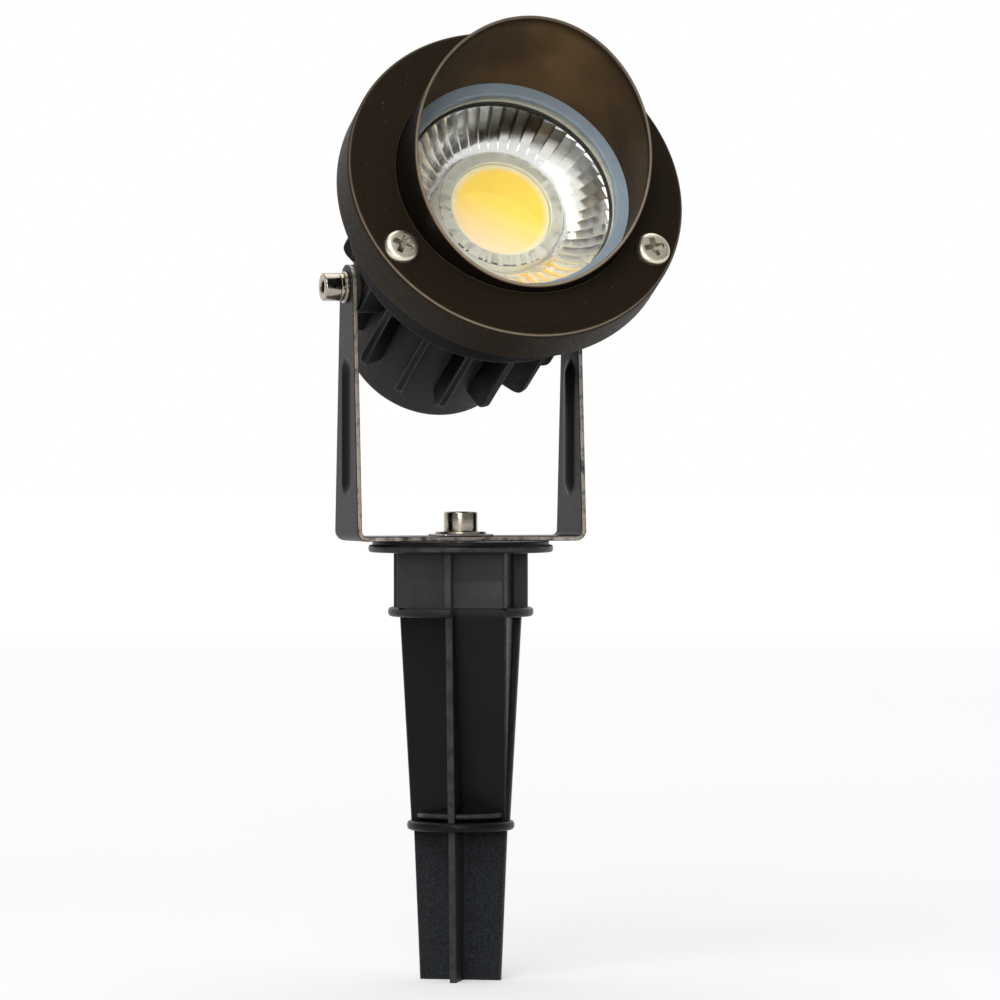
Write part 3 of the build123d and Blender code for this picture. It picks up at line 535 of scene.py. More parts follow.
def washer_rings(outer, inner, low, high, edge):
    """Flat washer about Z with eased edges."""
    return turned(softened([[inner, low], [outer, low], [outer, high], [inner, high]], edge), 96)


steel = bright_steel("bright_steel", (0.33, 0.295, 0.24), (0.46, 0.415, 0.34), 0.14, 0.26)
washer_bore = bolt_radius + washer_clearance
washer = moulded("stake_washer_steel",
                 [washer_rings(washer_radius, washer_bore, washer_low, head_low, washer_edge)])
washer.data.materials.append(steel)
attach(washer, "stake")
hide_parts("stake_washer")

bolt_grid = cap_screw(bolt_head_radius, bolt_head_height, bolt_radius, bolt_length, bolt_socket, bolt_edge)
bolt = moulded("stake_bolt_steel", [bolt_grid + [0, 0, head_low]])
bolt.data.materials.append(steel)
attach(bolt, "stake")
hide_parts("stake_bolt")
dress(["stake_insert"], brass())

# Yoke: one strip of sheet steel, sheared, bent to a U and painted grey-black.  Each leg tapers to a round
# end and has a rib pressed into its outer face, and the paint is thin on the sheared edges, where metal
# shows.
yoke_width = 0.0600
yoke_bend = 0.0014
yoke_depth = 0.0198
yoke_taper_start = 0.0026
yoke_end_radius = 0.0056
yoke_edge = 0.0002
rib_width = 0.0076
rib_low = 0.0115
rib_high = 0.0455
rib_depth = 0.0012
pivot_height = joints["head_tilt"]["pos_m"][2] - seat


def yoke_path():
    """Right half of the strip's middle line from the base's centre to the leg's top, as (across, up), with
    its outward normals and half the depth of the strip at each point."""
    middle = yoke_width / 2 - yoke_sheet / 2
    bend = yoke_bend + yoke_sheet / 2
    flat = np.linspace(0, middle - bend, 12)
    turn = np.linspace(0, np.pi / 2, 11)[1:]
    leg = np.linspace(yoke_bend + yoke_sheet, pivot_height, 121)[1:]
    end = np.linspace(0, np.pi / 2, 25)[1:]
    across = np.concatenate([flat, middle - bend + bend * np.sin(turn), middle + 0 * leg, middle + 0 * end])
    up = np.concatenate([yoke_sheet / 2 + 0 * flat, yoke_sheet / 2 + bend - bend * np.cos(turn),
                         leg, pivot_height + yoke_end_radius * np.sin(end)])
    normal_across = np.concatenate([0 * flat, np.sin(turn), 1 + 0 * leg, 1 + 0 * end])
    normal_up = np.concatenate([-1 + 0 * flat, -np.cos(turn), 0 * leg, 0 * end])
    narrowing = np.clip((leg - yoke_taper_start) / (pivot_height - yoke_taper_start), 0, 1)
    half = np.concatenate([yoke_depth / 2 + 0 * flat, yoke_depth / 2 + 0 * turn,
                           yoke_depth / 2 + (yoke_end_radius - yoke_depth / 2) * narrowing,
                           yoke_end_radius * np.cos(end)])
    return across, up, normal_across, normal_up, half


def yoke_strip():
    """Rounded-rectangle section carried along the strip's path.  The rib pushes a long slot inward as a
    round groove: depth sin(90 degrees x the share of the way in from the slot's edge to its middle
    line)."""
    signs = (-1, 1, -1, 1, 1)
    both_halves = [np.concatenate([sign * line[:0:-1], line]) for sign, line in zip(signs, yoke_path())]
    across, up, normal_across, normal_up, half = both_halves
    face = np.linspace(-1, 1, 61)
    q = np.linspace(0, np.pi / 2, 5)
    thick = yoke_sheet / 2
    rounded = thick - yoke_edge + yoke_edge * np.cos(q)
    corner = np.concatenate([rounded, -rounded[::-1]])
    bulge = np.concatenate([np.sin(q), np.sin(q[::-1])])
    side = np.concatenate([face, 1 + 0 * corner, face[::-1], -1 + 0 * corner, face[:1]])
    reach = np.concatenate([0 * face, bulge, 0 * face, -bulge, [0]])
    lift = np.concatenate([thick + 0 * face, corner, -thick + 0 * face, corner[::-1], [thick]])
    ease = np.minimum(yoke_edge, half)[:, None]
    depth = side * (half[:, None] - ease) + reach * ease
    above = np.maximum(rib_low + rib_width / 2 - up, up - rib_high + rib_width / 2)
    outside = np.hypot(depth, np.maximum(above, 0)[:, None]) - rib_width / 2
    step = np.clip(-outside / (rib_width / 2), 0, 1)
    pressed = rib_depth * np.sin(step * np.pi / 2)
    offset = lift - pressed
    strip = np.stack([across[:, None] + normal_across[:, None] * offset, depth,
                      seat + up[:, None] + normal_up[:, None] * offset], axis=-1)
    bare = np.broadcast_to(np.abs(reach) > 0.999, depth.shape).astype(float)
    return strip, bare


def yoke_paint():
    """Grey-black satin paint with fine grain, and tan worn metal along the sheared edges."""
    material, tree, shader = finish("yoke_paint")
    paint = mixed(tree, cloud(tree, 90), (0.0075, 0.0074, 0.0080), (0.0125, 0.0123, 0.0132))
    metal = mixed(tree, cloud(tree, 500), (0.46, 0.38, 0.32), (0.68, 0.60, 0.53))
    patchy = spread(tree, cloud(tree, 420, 5), 0.36, 0.54, 0.15, 1.0)
    bare = product(tree, painted_light_and_wear(tree), patchy)
    feed(tree, shader, {"Base Color": mixed(tree, bare, paint, metal), "Metallic": product(tree, bare, 0.7),
                        "Roughness": uneven(tree, 1200, 0.28, 0.40), "Specular IOR Level": 0.08,
                        "Normal": relief(tree, cloud(tree, 2600, 2), 0.00006, 0.4)})
    return material


strip, bare = yoke_strip()
yoke = moulded("yoke_strip", [strip], crease=40, wear=[bare])
yoke.data.materials.append(yoke_paint())
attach(yoke, "yoke")
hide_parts("yoke_bracket")

# Housing: a black-coated aluminium die casting.  A smooth drum holds the driver, sixteen cooling fins
# stand round it under the collar, a lug on each side takes a pivot screw, and a flange at the front
# carries the bezel.
pivot = np.array(joints["head_tilt"]["pos_m"])
ahead = -np.array(mounts["cable_entry"]["axis"])
across = np.array([1.0, 0.0, 0.0])
upward = np.cross(ahead, across)
beam_rise = 0.0018
drum_radius = 0.0225
drum_bore = 0.0195
drum_rear = -0.0312
drum_floor = -0.0272
drum_edge = 0.0026
drum_light_front = 0.0080
drum_light_length = 0.0200
collar_radius = 0.0360
collar_rear = 0.0240
collar_root = 0.0008
collar_edge = 0.0012
collar_overlap = 0.0010
flange_edge_radius = 0.0405
flange_rear = 0.0397
flange_root = 0.0006
flange_edge = 0.0004
front_seat = 0.0458
cavity_radius = 0.0310
cavity_floor = 0.0285
cavity_edge = 0.0003
cavity_root = 0.0005
fin_count = 16
fin_radius = 0.0300
fin_thickness = 0.0022
fin_tip_rear = -0.0132
fin_root_rear = -0.0178
fin_corner = 0.0030
fin_edge = 0.00055
fin_side = 0.0264
lug_half_height = 0.0064
lug_reach = 0.0276
lug_edge = 0.0006


def on_beam(points):
    """Head points (across, up from the beam's axis, forward from the pivot) set in the shared frame."""
    return pivot + beam_rise * upward + points @ np.stack([across, upward, ahead])


def housing_body():
    """Turned outline from axis to axis: the drum, collar and flange outside, and the lamp cavity and the
    driver's bore inside."""
    corners = [[0, drum_rear], [drum_radius, drum_rear], [drum_radius, collar_rear],
               [collar_radius, collar_rear], [collar_radius, flange_rear], [flange_edge_radius, flange_rear],
               [flange_edge_radius, front_seat], [cavity_radius, front_seat], [cavity_radius, cavity_floor],
               [drum_bore, cavity_floor], [drum_bore, drum_floor], [0, drum_floor]]
    ease = [0, drum_edge, collar_root, collar_edge, flange_root, flange_edge, flange_edge, cavity_edge,
            cavity_root, cavity_edge, cavity_root, 0]
    return turned(softened(corners, ease, steps=7, closed=False), 160)


def housing_fin(turn):
    """Rounded plate on edge at an angle round the drum.  Its rear runs back as it nears the drum, and its
    outer edge keeps inside the flat side cuts beside the lugs."""
    reach = min(fin_radius, fin_side / abs(math.cos(turn)))
    root = drum_bore + (drum_radius - drum_bore) / 2
    front = collar_rear + collar_overlap
    corners = [[root, fin_root_rear], [reach, fin_tip_rear], [reach, front], [root, front]]
    outline = softened(corners, [0, fin_corner, 0, 0], steps=9)
    standing = plate(outline, fin_thickness, fin_edge)
    radius, level, side = np.moveaxis(standing, -1, 0)
    fin_across = radius * np.cos(turn) - side * np.sin(turn)
    fin_up = radius * np.sin(turn) + side * np.cos(turn)
    return np.stack([fin_across, fin_up, level], axis=-1)


def housing_lugs():
    """One bar through the drum to both lugs: a round-ended outline of the lug's height, carried from one
    lug's face to the other's."""
    sweep = np.linspace(np.pi, 2 * np.pi, 33)
    round_end = np.stack([lug_half_height * np.cos(sweep), lug_half_height * np.sin(sweep)], axis=-1)
    front = collar_rear + collar_overlap
    front_end = [[lug_half_height, front], [-lug_half_height, front]]
    outline = np.concatenate([round_end, front_end, round_end[:1]])
    height, level, side = np.moveaxis(plate(outline, 2 * lug_reach, lug_edge), -1, 0)
    return np.stack([side, height - beam_rise, level], axis=-1)


def black_casting():
    """Black coat on a casting, in fine grain: painted shade darkens the fins' flanks deep between them (to -1),
    and painted highlights make it greyer on the edges of fins and lugs and towards the drum's rear."""
    material, tree, shader = finish("black_casting")
    coat = mixed(tree, cloud(tree, 60), (0.0054, 0.0054, 0.0054), (0.0090, 0.0090, 0.0088))
    wear = painted_light_and_wear(tree)
    # Painted highlights (positive values) lighten towards grey, and painted shade (negative) darkens the fins'
    # flanks.
    painted_highlight = mixed(tree, spread(tree, wear, 0, 1, 0, 0.7), coat, (0.090, 0.090, 0.088))
    tint = mixed(tree, spread(tree, wear, 0, -1, 0, 1), painted_highlight, (0.0016, 0.0016, 0.0016))
    feed(tree, shader, {"Base Color": tint, "Roughness": uneven(tree, 900, 0.42, 0.58),
                        "Specular IOR Level": 0.06, "Normal": relief(tree, cloud(tree, 2200), 0.0001, 0.4)})
    return material


fin_turns = (np.arange(fin_count) + 0.5) * 2 * np.pi / fin_count
housing_grids = [housing_body(), housing_lugs()] + [housing_fin(turn) for turn in fin_turns]
# Painted light: the drum grows lighter towards its rear, fin and lug edges carry painted highlights (1), and the
# fins' flanks carry painted shade (-0.9).
drum_painted_light = 0.55 * np.clip((drum_light_front - housing_grids[0][:, :1, 2]) / drum_light_length, 0, 1)
lug_painted_highlights = np.array([0, 0, 0.3, 1.0, 0.2, 0.2, 1.0, 0.3, 0, 0])[:, None]
fin_painted_light = np.array([-0.9, -0.9, 0.1, 1.0, 0.1, 0.1, 1.0, 0.1, -0.9, -0.9])[:, None]
housing_painted_light = [drum_painted_light, lug_painted_highlights] + [fin_painted_light] * fin_count
housing = moulded("housing_casting", [on_beam(grid) for grid in housing_grids], wear=housing_painted_light)
housing.data.materials.append(black_casting())
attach(housing, "head")
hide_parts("housing")

# Pivots: on each side a rubber friction pad sits between lug and leg, and outside the leg an M4
# hexagon-socket screw clamps a split spring washer and a flat washer, so that the head keeps its angle.
pad_radius = 0.0056
pad_edge = 0.0002
pad_inner = lug_reach
pad_outer = yoke_width / 2 - yoke_sheet
flat_radius = 0.0040
flat_thickness = 0.0009
flat_edge = 0.0002
spring_radius = 0.0035
spring_thickness = 0.0011
spring_gap = 0.0006
spring_edge = 0.00012
pivot_screw_radius = 0.0020
pivot_clearance = 0.0002
pivot_head_radius = 0.0035
pivot_head_height = 0.0042
pivot_socket = 0.0030
pivot_edge = 0.0004
pivot_shank = 0.0100
pivot_bore = pivot_screw_radius + pivot_clearance
flat_low = yoke_width / 2
spring_low = flat_low + flat_thickness
pivot_head_low = spring_low + spring_thickness


def both_sides(points):
    """A piece built along Z, laid along the pivot's axis on the right, and the same turned half round on
    the left."""
    right = points[..., [2, 0, 1]]
    left = right * np.array([-1.0, -1.0, 1.0])
    return [pivot + right, pivot + left]


def spring_washer():
    """Clamped flat: a square section swept once round, less the gap of the split."""
    half_gap = spring_gap / (2 * spring_radius)
    section = softened(
        [[pivot_bore, spring_low], [spring_radius, spring_low], [spring_radius, pivot_head_low],
         [pivot_bore, pivot_head_low]],
        spring_edge, steps=3)
    return arc_swept(section, half_gap, 2 * np.pi - half_gap, 96)


def friction_rubber():
    """Soft black rubber with a dusty bloom."""
    material, tree, shader = finish("friction_rubber")
    tint = mixed(tree, cloud(tree, 500), (0.010, 0.010, 0.010), (0.020, 0.020, 0.019))
    feed(tree, shader, {"Base Color": tint, "Roughness": uneven(tree, 900, 0.62, 0.80)})
    return material


pad_rings = washer_rings(pad_radius, pivot_screw_radius, pad_inner, pad_outer, pad_edge)
pads = moulded("friction_pads", both_sides(pad_rings))
pads.data.materials.append(friction_rubber())
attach(pads, "head")
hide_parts("pivot_friction_pads")

pivot_parts = [
    ("pivot_flat_washers", washer_rings(flat_radius, pivot_bore, flat_low, spring_low, flat_edge)),
    ("pivot_spring_washers", spring_washer()),
    ("pivot_screws", cap_screw(pivot_head_radius, pivot_head_height, pivot_screw_radius, pivot_shank,
                               pivot_socket, pivot_edge) + [0, 0, pivot_head_low]),
]
for node_name, grid in pivot_parts:
    piece = moulded(node_name + "_steel", both_sides(grid))
    piece.data.materials.append(steel)
    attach(piece, "head")
    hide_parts(node_name)

# Driver: a small circuit board in the drum with a wound coil, two capacitors and a terminal block, wired
# by two sleeved leads to the lamp.  The casting closes it in, so the frame's shapes stay and take their
# finishes.


def plain_finish(name, dark, light, scale, roughness, metallic=0.0):
    """A finish of two near shades in a cloud of the given scale, its roughness varying a little with
    it."""
    material, tree, shader = finish(name)
    tint = mixed(tree, cloud(tree, scale), dark, light)
    rough = uneven(tree, 2 * scale, roughness - 0.06, roughness + 0.06)
    feed(tree, shader, {"Base Color": tint, "Roughness": rough, "Metallic": metallic})
    return material


driver_finishes = [
    ("driver_board", "circuit_board", (0.01, 0.07, 0.03), (0.02, 0.12, 0.05), 300, 0.45),
    ("driver_coil", "coil_wrap", (0.42, 0.30, 0.03), (0.58, 0.43, 0.06), 400, 0.40),
    ("driver_capacitors", "capacitor_sleeve", (0.02, 0.03, 0.09), (0.03, 0.05, 0.14), 500, 0.35),
    ("driver_terminal", "terminal_plastic", (0.05, 0.16, 0.10), (0.07, 0.22, 0.14), 400, 0.45),
    ("led_leads", "lead_sleeve", (0.40, 0.03, 0.02), (0.55, 0.05, 0.03), 500, 0.45),
]
for node_name, finish_name, dark, light, scale, roughness in driver_finishes:
    dress([node_name], plain_finish(finish_name, dark, light, scale, roughness))

# Light source: an aluminium heat plate screwed into the casting carries a grey thermal pad and a round
# board, with a disc of yellow phosphor under a clear domed lens that a white plastic holder centres on the
# reflector.
board_front = 0.0341
phosphor_radius = 0.0120
phosphor_front = 0.0353
phosphor_edge = 0.0004
holder_inner = 0.0122
holder_radius = 0.0153
holder_front = 0.0363
holder_outer_edge = 0.0002
holder_inner_edge = 0.0003
lens_radius = holder_radius
lens_edge = 0.0008
lens_crown = 0.0022


def vector_math(tree, operation, output, *vectors):
    """One output of an operation on one or two vectors."""
    return add(tree, "ShaderNodeVectorMath", dict(enumerate(vectors)), operation=operation).outputs[output]


def larger(tree, first, second):
    """The larger of two values."""
    return add(tree, "ShaderNodeMath", {0: first, 1: second}, operation="MAXIMUM").outputs["Value"]


def phosphor_glow():
    """Yellow phosphor in clear resin, lit: paler towards one side, speckled where the resin thins, and
    faded to beige at its rim."""
    material, tree, shader = finish("phosphor")
    middle = on_beam(np.array([0, 0, phosphor_front]))
    pale_way = np.array([-0.45, -0.40, -0.80]) / phosphor_radius
    way = vector_math(tree, "SUBTRACT", "Vector", where(tree), tuple(middle))
    slope = vector_math(tree, "DOT_PRODUCT", "Value", way, tuple(pale_way))
    out = vector_math(tree, "LENGTH", "Value", way)
    speckle = product(tree, spread(tree, out, 0.80 * phosphor_radius, phosphor_radius, 0, 1),
                      spread(tree, cloud(tree, 2600, 2), 0.42, 0.58, 0, 1))
    pale = larger(tree, spread(tree, slope, -0.05, 0.85, 0.0, 0.95), speckle)
    yellow = mixed(tree, cloud(tree, 700), (0.90, 0.57, 0.010), (0.94, 0.65, 0.018))
    face = mixed(tree, pale, yellow, (0.90, 0.66, 0.40))
    rim = spread(tree, out, 0.86 * phosphor_radius, 0.99 * phosphor_radius, 0, 0.9)
    colour = mixed(tree, rim, face, (0.70, 0.66, 0.48))
    feed(tree, shader, {"Base Color": colour, "Emission Color": colour, "Emission Strength": 0.30,
                        "Roughness": 0.4})
    return material


def clear_finish(name, tint, roughness, ior):
    """Clear moulding or pane: it refracts what is seen through it, and lets lamp light through to what is
    behind."""
    material, tree, shader = finish(name)
    shade = tuple(0.97 * channel for channel in tint)
    feed(tree, shader, {"Base Color": mixed(tree, cloud(tree, 120), tint, shade),
                        "Roughness": uneven(tree, 400, roughness, roughness + 0.015),
                        "IOR": ior, "Transmission Weight": 1.0})
    open_way = add(tree, "ShaderNodeBsdfTransparent", {"Color": (*tint, 1)}).outputs["BSDF"]
    shadow = add(tree, "ShaderNodeLightPath", {}).outputs["Is Shadow Ray"]
    both = add(tree, "ShaderNodeMixShader", {0: shadow, 1: shader.outputs["BSDF"], 2: open_way})
    tree.links.new(both.outputs["Shader"], tree.nodes["Material Output"].inputs["Surface"])
    return material


phosphor_profile = softened(
    [[0, board_front], [phosphor_radius, board_front], [phosphor_radius, phosphor_front],
     [0, phosphor_front]],
    [0, 0, phosphor_edge, 0], closed=False)
phosphor = moulded("phosphor_disc", [on_beam(turned(phosphor_profile))])
phosphor.data.materials.append(phosphor_glow())
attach(phosphor, "head")
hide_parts("cob_phosphor")

holder_profile = softened(
    [[holder_inner, board_front], [holder_radius, board_front], [holder_radius, holder_front],
     [holder_inner, holder_front]],
    [0, 0, holder_outer_edge, holder_inner_edge])
holder = moulded("lens_holder_ring", [on_beam(turned(holder_profile))])
white_plastic = plain_finish("white_plastic", (0.76, 0.73, 0.60), (0.88, 0.85, 0.72), 300, 0.40)
holder.data.materials.append(white_plastic)
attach(holder, "head")
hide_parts("lens_holder")


def dome_profile():
    """Lens outline: a flat rear, a short straight edge, then a spherical crown, whose radius is S sin a
    and whose height is S (cos a - cos A), with S the sphere's radius and a falling from A at the edge to
    0."""
    sphere = (lens_radius ** 2 + lens_crown ** 2) / (2 * lens_crown)
    opening = math.asin(lens_radius / sphere)
    a = np.linspace(opening, 0, 33)
    level = holder_front + lens_edge + sphere * (np.cos(a) - math.cos(opening))
    crown = np.stack([sphere * np.sin(a), level], axis=-1)
    return np.concatenate([[[0, holder_front], [lens_radius, holder_front]], crown])


lens = moulded("centre_lens_dome", [on_beam(turned(dome_profile()))])
lens.data.materials.append(clear_finish("clear_lens", (0.98, 0.98, 0.97), 0.0, 1.49))
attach(lens, "head")
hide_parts("centre_lens")
dress(["cob_board"], plain_finish("board_metal", (0.62, 0.61, 0.58), (0.74, 0.73, 0.70), 300, 0.35, 0.6))
dress(["thermal_pad"], plain_finish("pad_grey", (0.22, 0.22, 0.23), (0.30, 0.30, 0.31), 400, 0.70))
dress(["heat_plate"], plain_finish("bare_aluminium", (0.56, 0.56, 0.57), (0.70, 0.70, 0.71), 250, 0.34, 1.0))
dress(["plate_screws"], plain_finish("zinc_steel", (0.50, 0.50, 0.50), (0.64, 0.64, 0.63), 500, 0.32, 1.0))

# Reflector: pressed aluminium, polished and faceted.  Narrow blades run from the throat round the lens to
# the mouth behind the glass, each tipped a little round the beam so that neighbours catch different light.
throat_radius = 0.0157
mouth_radius = 0.0254
mouth_level = 0.0420
reflector_rim = 0.0308
reflector_sheet = 0.0006
facet_count = 48
facet_tip = 0.00050
facet_start = 0.18
facet_growth = 0.20
lip_rise = 0.0003
lip_width = 0.0006
back_lip = 0.0012
back_gap = 0.0010
back_drop = 0.0004
back_foot = 0.0020


def reflector_cup():
    """Facets as flat strips between two angles: the radius is the cup's, plus the tip at one side of each
    strip and minus it at the other.  The cup rises as the square of the way out from the throat, the first
    part of it is plain, and so are the rim and the back, where the sheet closes on itself.  A second array
    paints reflections into the blades: gold (to 1) below and on the left for the lit phosphor, cream beside
    them, each blade lighter on one side and darker on the other, and dark (to -1) at the top right for the
    hood's inside."""
    chance = np.random.default_rng(4).random(facet_count)
    edges = np.linspace(0, 2 * np.pi, facet_count + 1)
    angle = np.append(np.repeat(edges, 2)[1:-1], edges[0])
    tip = np.append(np.tile([1.0, -1.0], facet_count), 1.0)
    out = np.linspace(0, 1, 17)
    radius = throat_radius + (mouth_radius - throat_radius) * out
    level = board_front + (mouth_level - lip_rise - board_front) * out ** 2
    share = np.clip((out - facet_start) / facet_growth, 0, 1)
    back_rows = [13, 8]
    foot_row = 4
    rim_back = mouth_level - reflector_sheet
    radius = np.concatenate([
        radius, [mouth_radius + lip_width, reflector_rim, reflector_rim, mouth_radius + back_lip],
        radius[back_rows] + back_gap, [radius[foot_row] + back_foot, throat_radius]])
    level = np.concatenate([
        level, [mouth_level, mouth_level, rim_back, rim_back],
        level[back_rows] - back_drop, [board_front, board_front]])
    share = np.concatenate([share, np.zeros(8)])
    reach = radius[:, None] + facet_tip * share[:, None] * tip
    cup = polar(reach, angle, level[:, None])
    middle = (edges[:-1] + edges[1:]) / 2

    def lobe(degrees, width):
        """A bell over the blades, e to the power of -(turn / width)^2, with the turn counted the shorter
        way."""
        turn = np.angle(np.exp(1j * (middle - np.radians(degrees))))
        return np.exp(-((turn / np.radians(width)) ** 2))

    # Painted reflections: warm and pale lobes stand for the lit phosphor seen in the blades, lit_side and far_side
    # for the lighter and darker halves of each blade, and the dark band below for the hood's inside.
    warm = np.maximum(lobe(298, 32), 0.95 * lobe(180, 14)) * (0.75 + 0.25 * chance)
    pale = np.maximum(lobe(338, 26), lobe(155, 20)) * (0.75 + 0.25 * chance)
    lit_side = np.maximum(warm, 0.40 * pale)
    far_side = 0.20 * warm - 0.12 * pale
    gold = np.append(np.stack([lit_side, far_side], axis=-1).ravel(), lit_side[0])
    top = lobe(66, 44) * (0.75 + 0.25 * chance)
    dark = np.append(np.repeat(top, 2), top[0])
    inset = 0.60 - 0.25 * lobe(90, 28) + 0.25 * (chance - 0.5)
    start = np.append(np.repeat(inset, 2), inset[0])
    way = np.concatenate([out, np.ones(4), np.zeros(4)])[:, None]
    gold_growth = 0.10
    dark_growth = 0.15
    return cup, gold * np.clip(way / gold_growth, 0, 1) - dark * np.clip((way - start) / dark_growth, 0, 1)


def bright_reflector():
    """Bright polished aluminium with a slight ripple.  Painted reflections: blades in which the lit phosphor
    would show are tinted cream and gold, and are less metallic for it, and those that would show the inside of the
    hood are painted dark."""
    material, tree, shader = finish("bright_reflector")
    bare = mixed(tree, cloud(tree, 200), (0.80, 0.80, 0.79), (0.90, 0.90, 0.89))
    wear = painted_light_and_wear(tree)
    cream = mixed(tree, spread(tree, wear, 0.0, 0.25, 0.0, 1.0), bare, (0.94, 0.90, 0.76))
    warm = mixed(tree, spread(tree, wear, 0.25, 0.65, 0.0, 1.0), cream, (0.98, 0.60, 0.08))
    tint = mixed(tree, spread(tree, wear, 0.0, -1.0, 0.0, 1.0), warm, (0.030, 0.030, 0.024))
    feed(tree, shader, {"Base Color": tint, "Metallic": spread(tree, wear, 0.0, 0.5, 1.0, 0.30),
                        "Roughness": uneven(tree, 500, 0.10, 0.20),
                        "Normal": relief(tree, cloud(tree, 600, 2), 0.0001, 0.35)})
    return material


cup_grid, cup_painted_reflections = reflector_cup()
reflector = moulded("reflector_cup", [on_beam(cup_grid)], crease=8, wear=[cup_painted_reflections])
reflector.data.materials.append(bright_reflector())
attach(reflector, "head")
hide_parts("reflector")

# Front seal: a black plastic ring holds the reflector's rim, and a pale grey silicone gasket, C-shaped in
# section, wraps the edge of the toughened glass, which the bezel presses against the casting.
retainer_front = 0.0429
gasket_radius = 0.0328
gasket_bore = 0.0263
gasket_rear = retainer_front
gasket_front = 0.0482
gasket_skirt = 0.0019
gasket_edge = 0.0002
gasket_lip_edge = 0.0005
glass_radius = gasket_radius - gasket_skirt
glass_rear = 0.0439
glass_front = 0.0469
glass_edge = 0.0003
tan_reach = 0.0001


def silicone():
    """Pale blue-grey silicone rubber with a dusty bloom, yellowed to tan on the lip behind the glass."""
    material, tree, shader = finish("silicone")
    fresh = mixed(tree, cloud(tree, 260), (0.27, 0.35, 0.41), (0.38, 0.46, 0.52))
    tint = mixed(tree, painted_light_and_wear(tree), fresh, (0.52, 0.50, 0.41))
    feed(tree, shader, {"Base Color": tint, "Roughness": uneven(tree, 700, 0.48, 0.62)})
    return material


gasket_profile = softened(
    [[gasket_bore, gasket_rear], [gasket_radius, gasket_rear], [gasket_radius, gasket_front],
     [gasket_bore, gasket_front], [gasket_bore, glass_front], [glass_radius, glass_front],
     [glass_radius, glass_rear], [gasket_bore, glass_rear]],
    [gasket_edge, gasket_edge, gasket_edge, gasket_lip_edge, gasket_edge, 0, 0, gasket_edge])
behind_glass = (gasket_profile[:, 1:] < glass_rear + tan_reach).astype(float)
gasket = moulded("glass_gasket_ring", [on_beam(turned(gasket_profile))], wear=[behind_glass])
gasket.data.materials.append(silicone())
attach(gasket, "head")
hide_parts("glass_gasket")

glass_profile = softened(
    [[0, glass_rear], [glass_radius, glass_rear], [glass_radius, glass_front], [0, glass_front]],
    [0, glass_edge, glass_edge, 0], closed=False)
glass = moulded("front_glass_pane", [on_beam(turned(glass_profile))])
glass.data.materials.append(clear_finish("clear_glass", (0.97, 0.98, 0.975), 0.0, 1.50))
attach(glass, "head")
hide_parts("front_glass")
black_plastic = plain_finish("black_plastic", (0.010, 0.010, 0.010), (0.018, 0.018, 0.018), 400, 0.42)
dress(["retainer_ring", "gland_locknut"], black_plastic)

# Bezel: a deep ring turned from a casting and coated dark bronze.  It is slipped over the housing's flange
# and drawn back on the gasket by three screws, and its front edges carry a painted highlight in lighter brown.
bezel_face = 0.0508
bezel_radius = 0.0425
bezel_rear = 0.0395
bezel_skirt = 0.0017
bezel_edge = 0.0013
bezel_rear_edge = 0.0006
bezel_hole = 0.0304
bezel_small_edge = 0.0003
bezel_edge_margin = 0.0020
bezel_hole_margin = 0.0007
gasket_room = 0.0011
gasket_clearance = 0.0002
bezel_bore = bezel_radius - bezel_skirt


def bronze_coat():
    """Dark bronze coat: satin, with fine pale specks of dust and a lighter brown on edges as a painted
    highlight.  Negative values are the hood's: a painted warm glow of the lamp's light in golden streaks inside
    (to
    -1), and painted shade on its outside (-2)."""
    material, tree, shader = finish("bronze_coat")
    coat = mixed(tree, cloud(tree, 50), (0.0118, 0.0079, 0.0047), (0.0182, 0.0122, 0.0074))
    painted_highlight = mixed(tree, cloud(tree, 400), (0.28, 0.215, 0.145), (0.48, 0.39, 0.28))
    dust = spread(tree, cloud(tree, 1400, 2), 0.71, 0.77, 0, 0.6)
    wear = painted_light_and_wear(tree)
    dusty = mixed(tree, dust, coat, (0.16, 0.14, 0.12))
    streaks = spread(tree, cloud(tree, 45, 2), 0.35, 0.65, 0.55, 1.3)
    # Painted light: a warm glow of the lamp's light inside the hood (to -1), then painted shade on its outside
    # (-2).
    painted_glow = product(tree, spread(tree, wear, 0, -1, 0, 1), streaks)
    glow_lit = mixed(tree, painted_glow, dusty, (0.40, 0.24, 0.105))
    shaded = mixed(tree, spread(tree, wear, -1, -2, 0, 1), glow_lit, (0.0048, 0.0036, 0.0025))
    # Painted highlight: edges marked positive go to a lighter brown.
    feed(tree, shader, {"Base Color": mixed(tree, wear, shaded, painted_highlight),
                        "Roughness": uneven(tree, 900, 0.44, 0.58), "Specular IOR Level": 0.10,
                        "Specular Tint": (1.0, 0.80, 0.60, 1),
                        "Normal": relief(tree, cloud(tree, 2400, 2), 0.00005, 0.5)})
    return material


seat_radius = gasket_radius + gasket_clearance
seat_front = gasket_front + gasket_room
edge_steps = 9
bezel_profile = softened(
    [[bezel_radius - bezel_edge_margin, bezel_face], [bezel_hole + bezel_hole_margin, bezel_face],
     [bezel_hole, bezel_face], [bezel_hole, seat_front], [seat_radius, seat_front],
     [seat_radius, front_seat], [bezel_bore, front_seat], [bezel_bore, bezel_rear],
     [bezel_radius, bezel_rear], [bezel_radius, bezel_face - bezel_edge_margin], [bezel_radius, bezel_face]],
    [0, 0, bezel_small_edge, 0, 0, 0, bezel_small_edge, bezel_small_edge, bezel_rear_edge, 0, bezel_edge],
    steps=edge_steps)


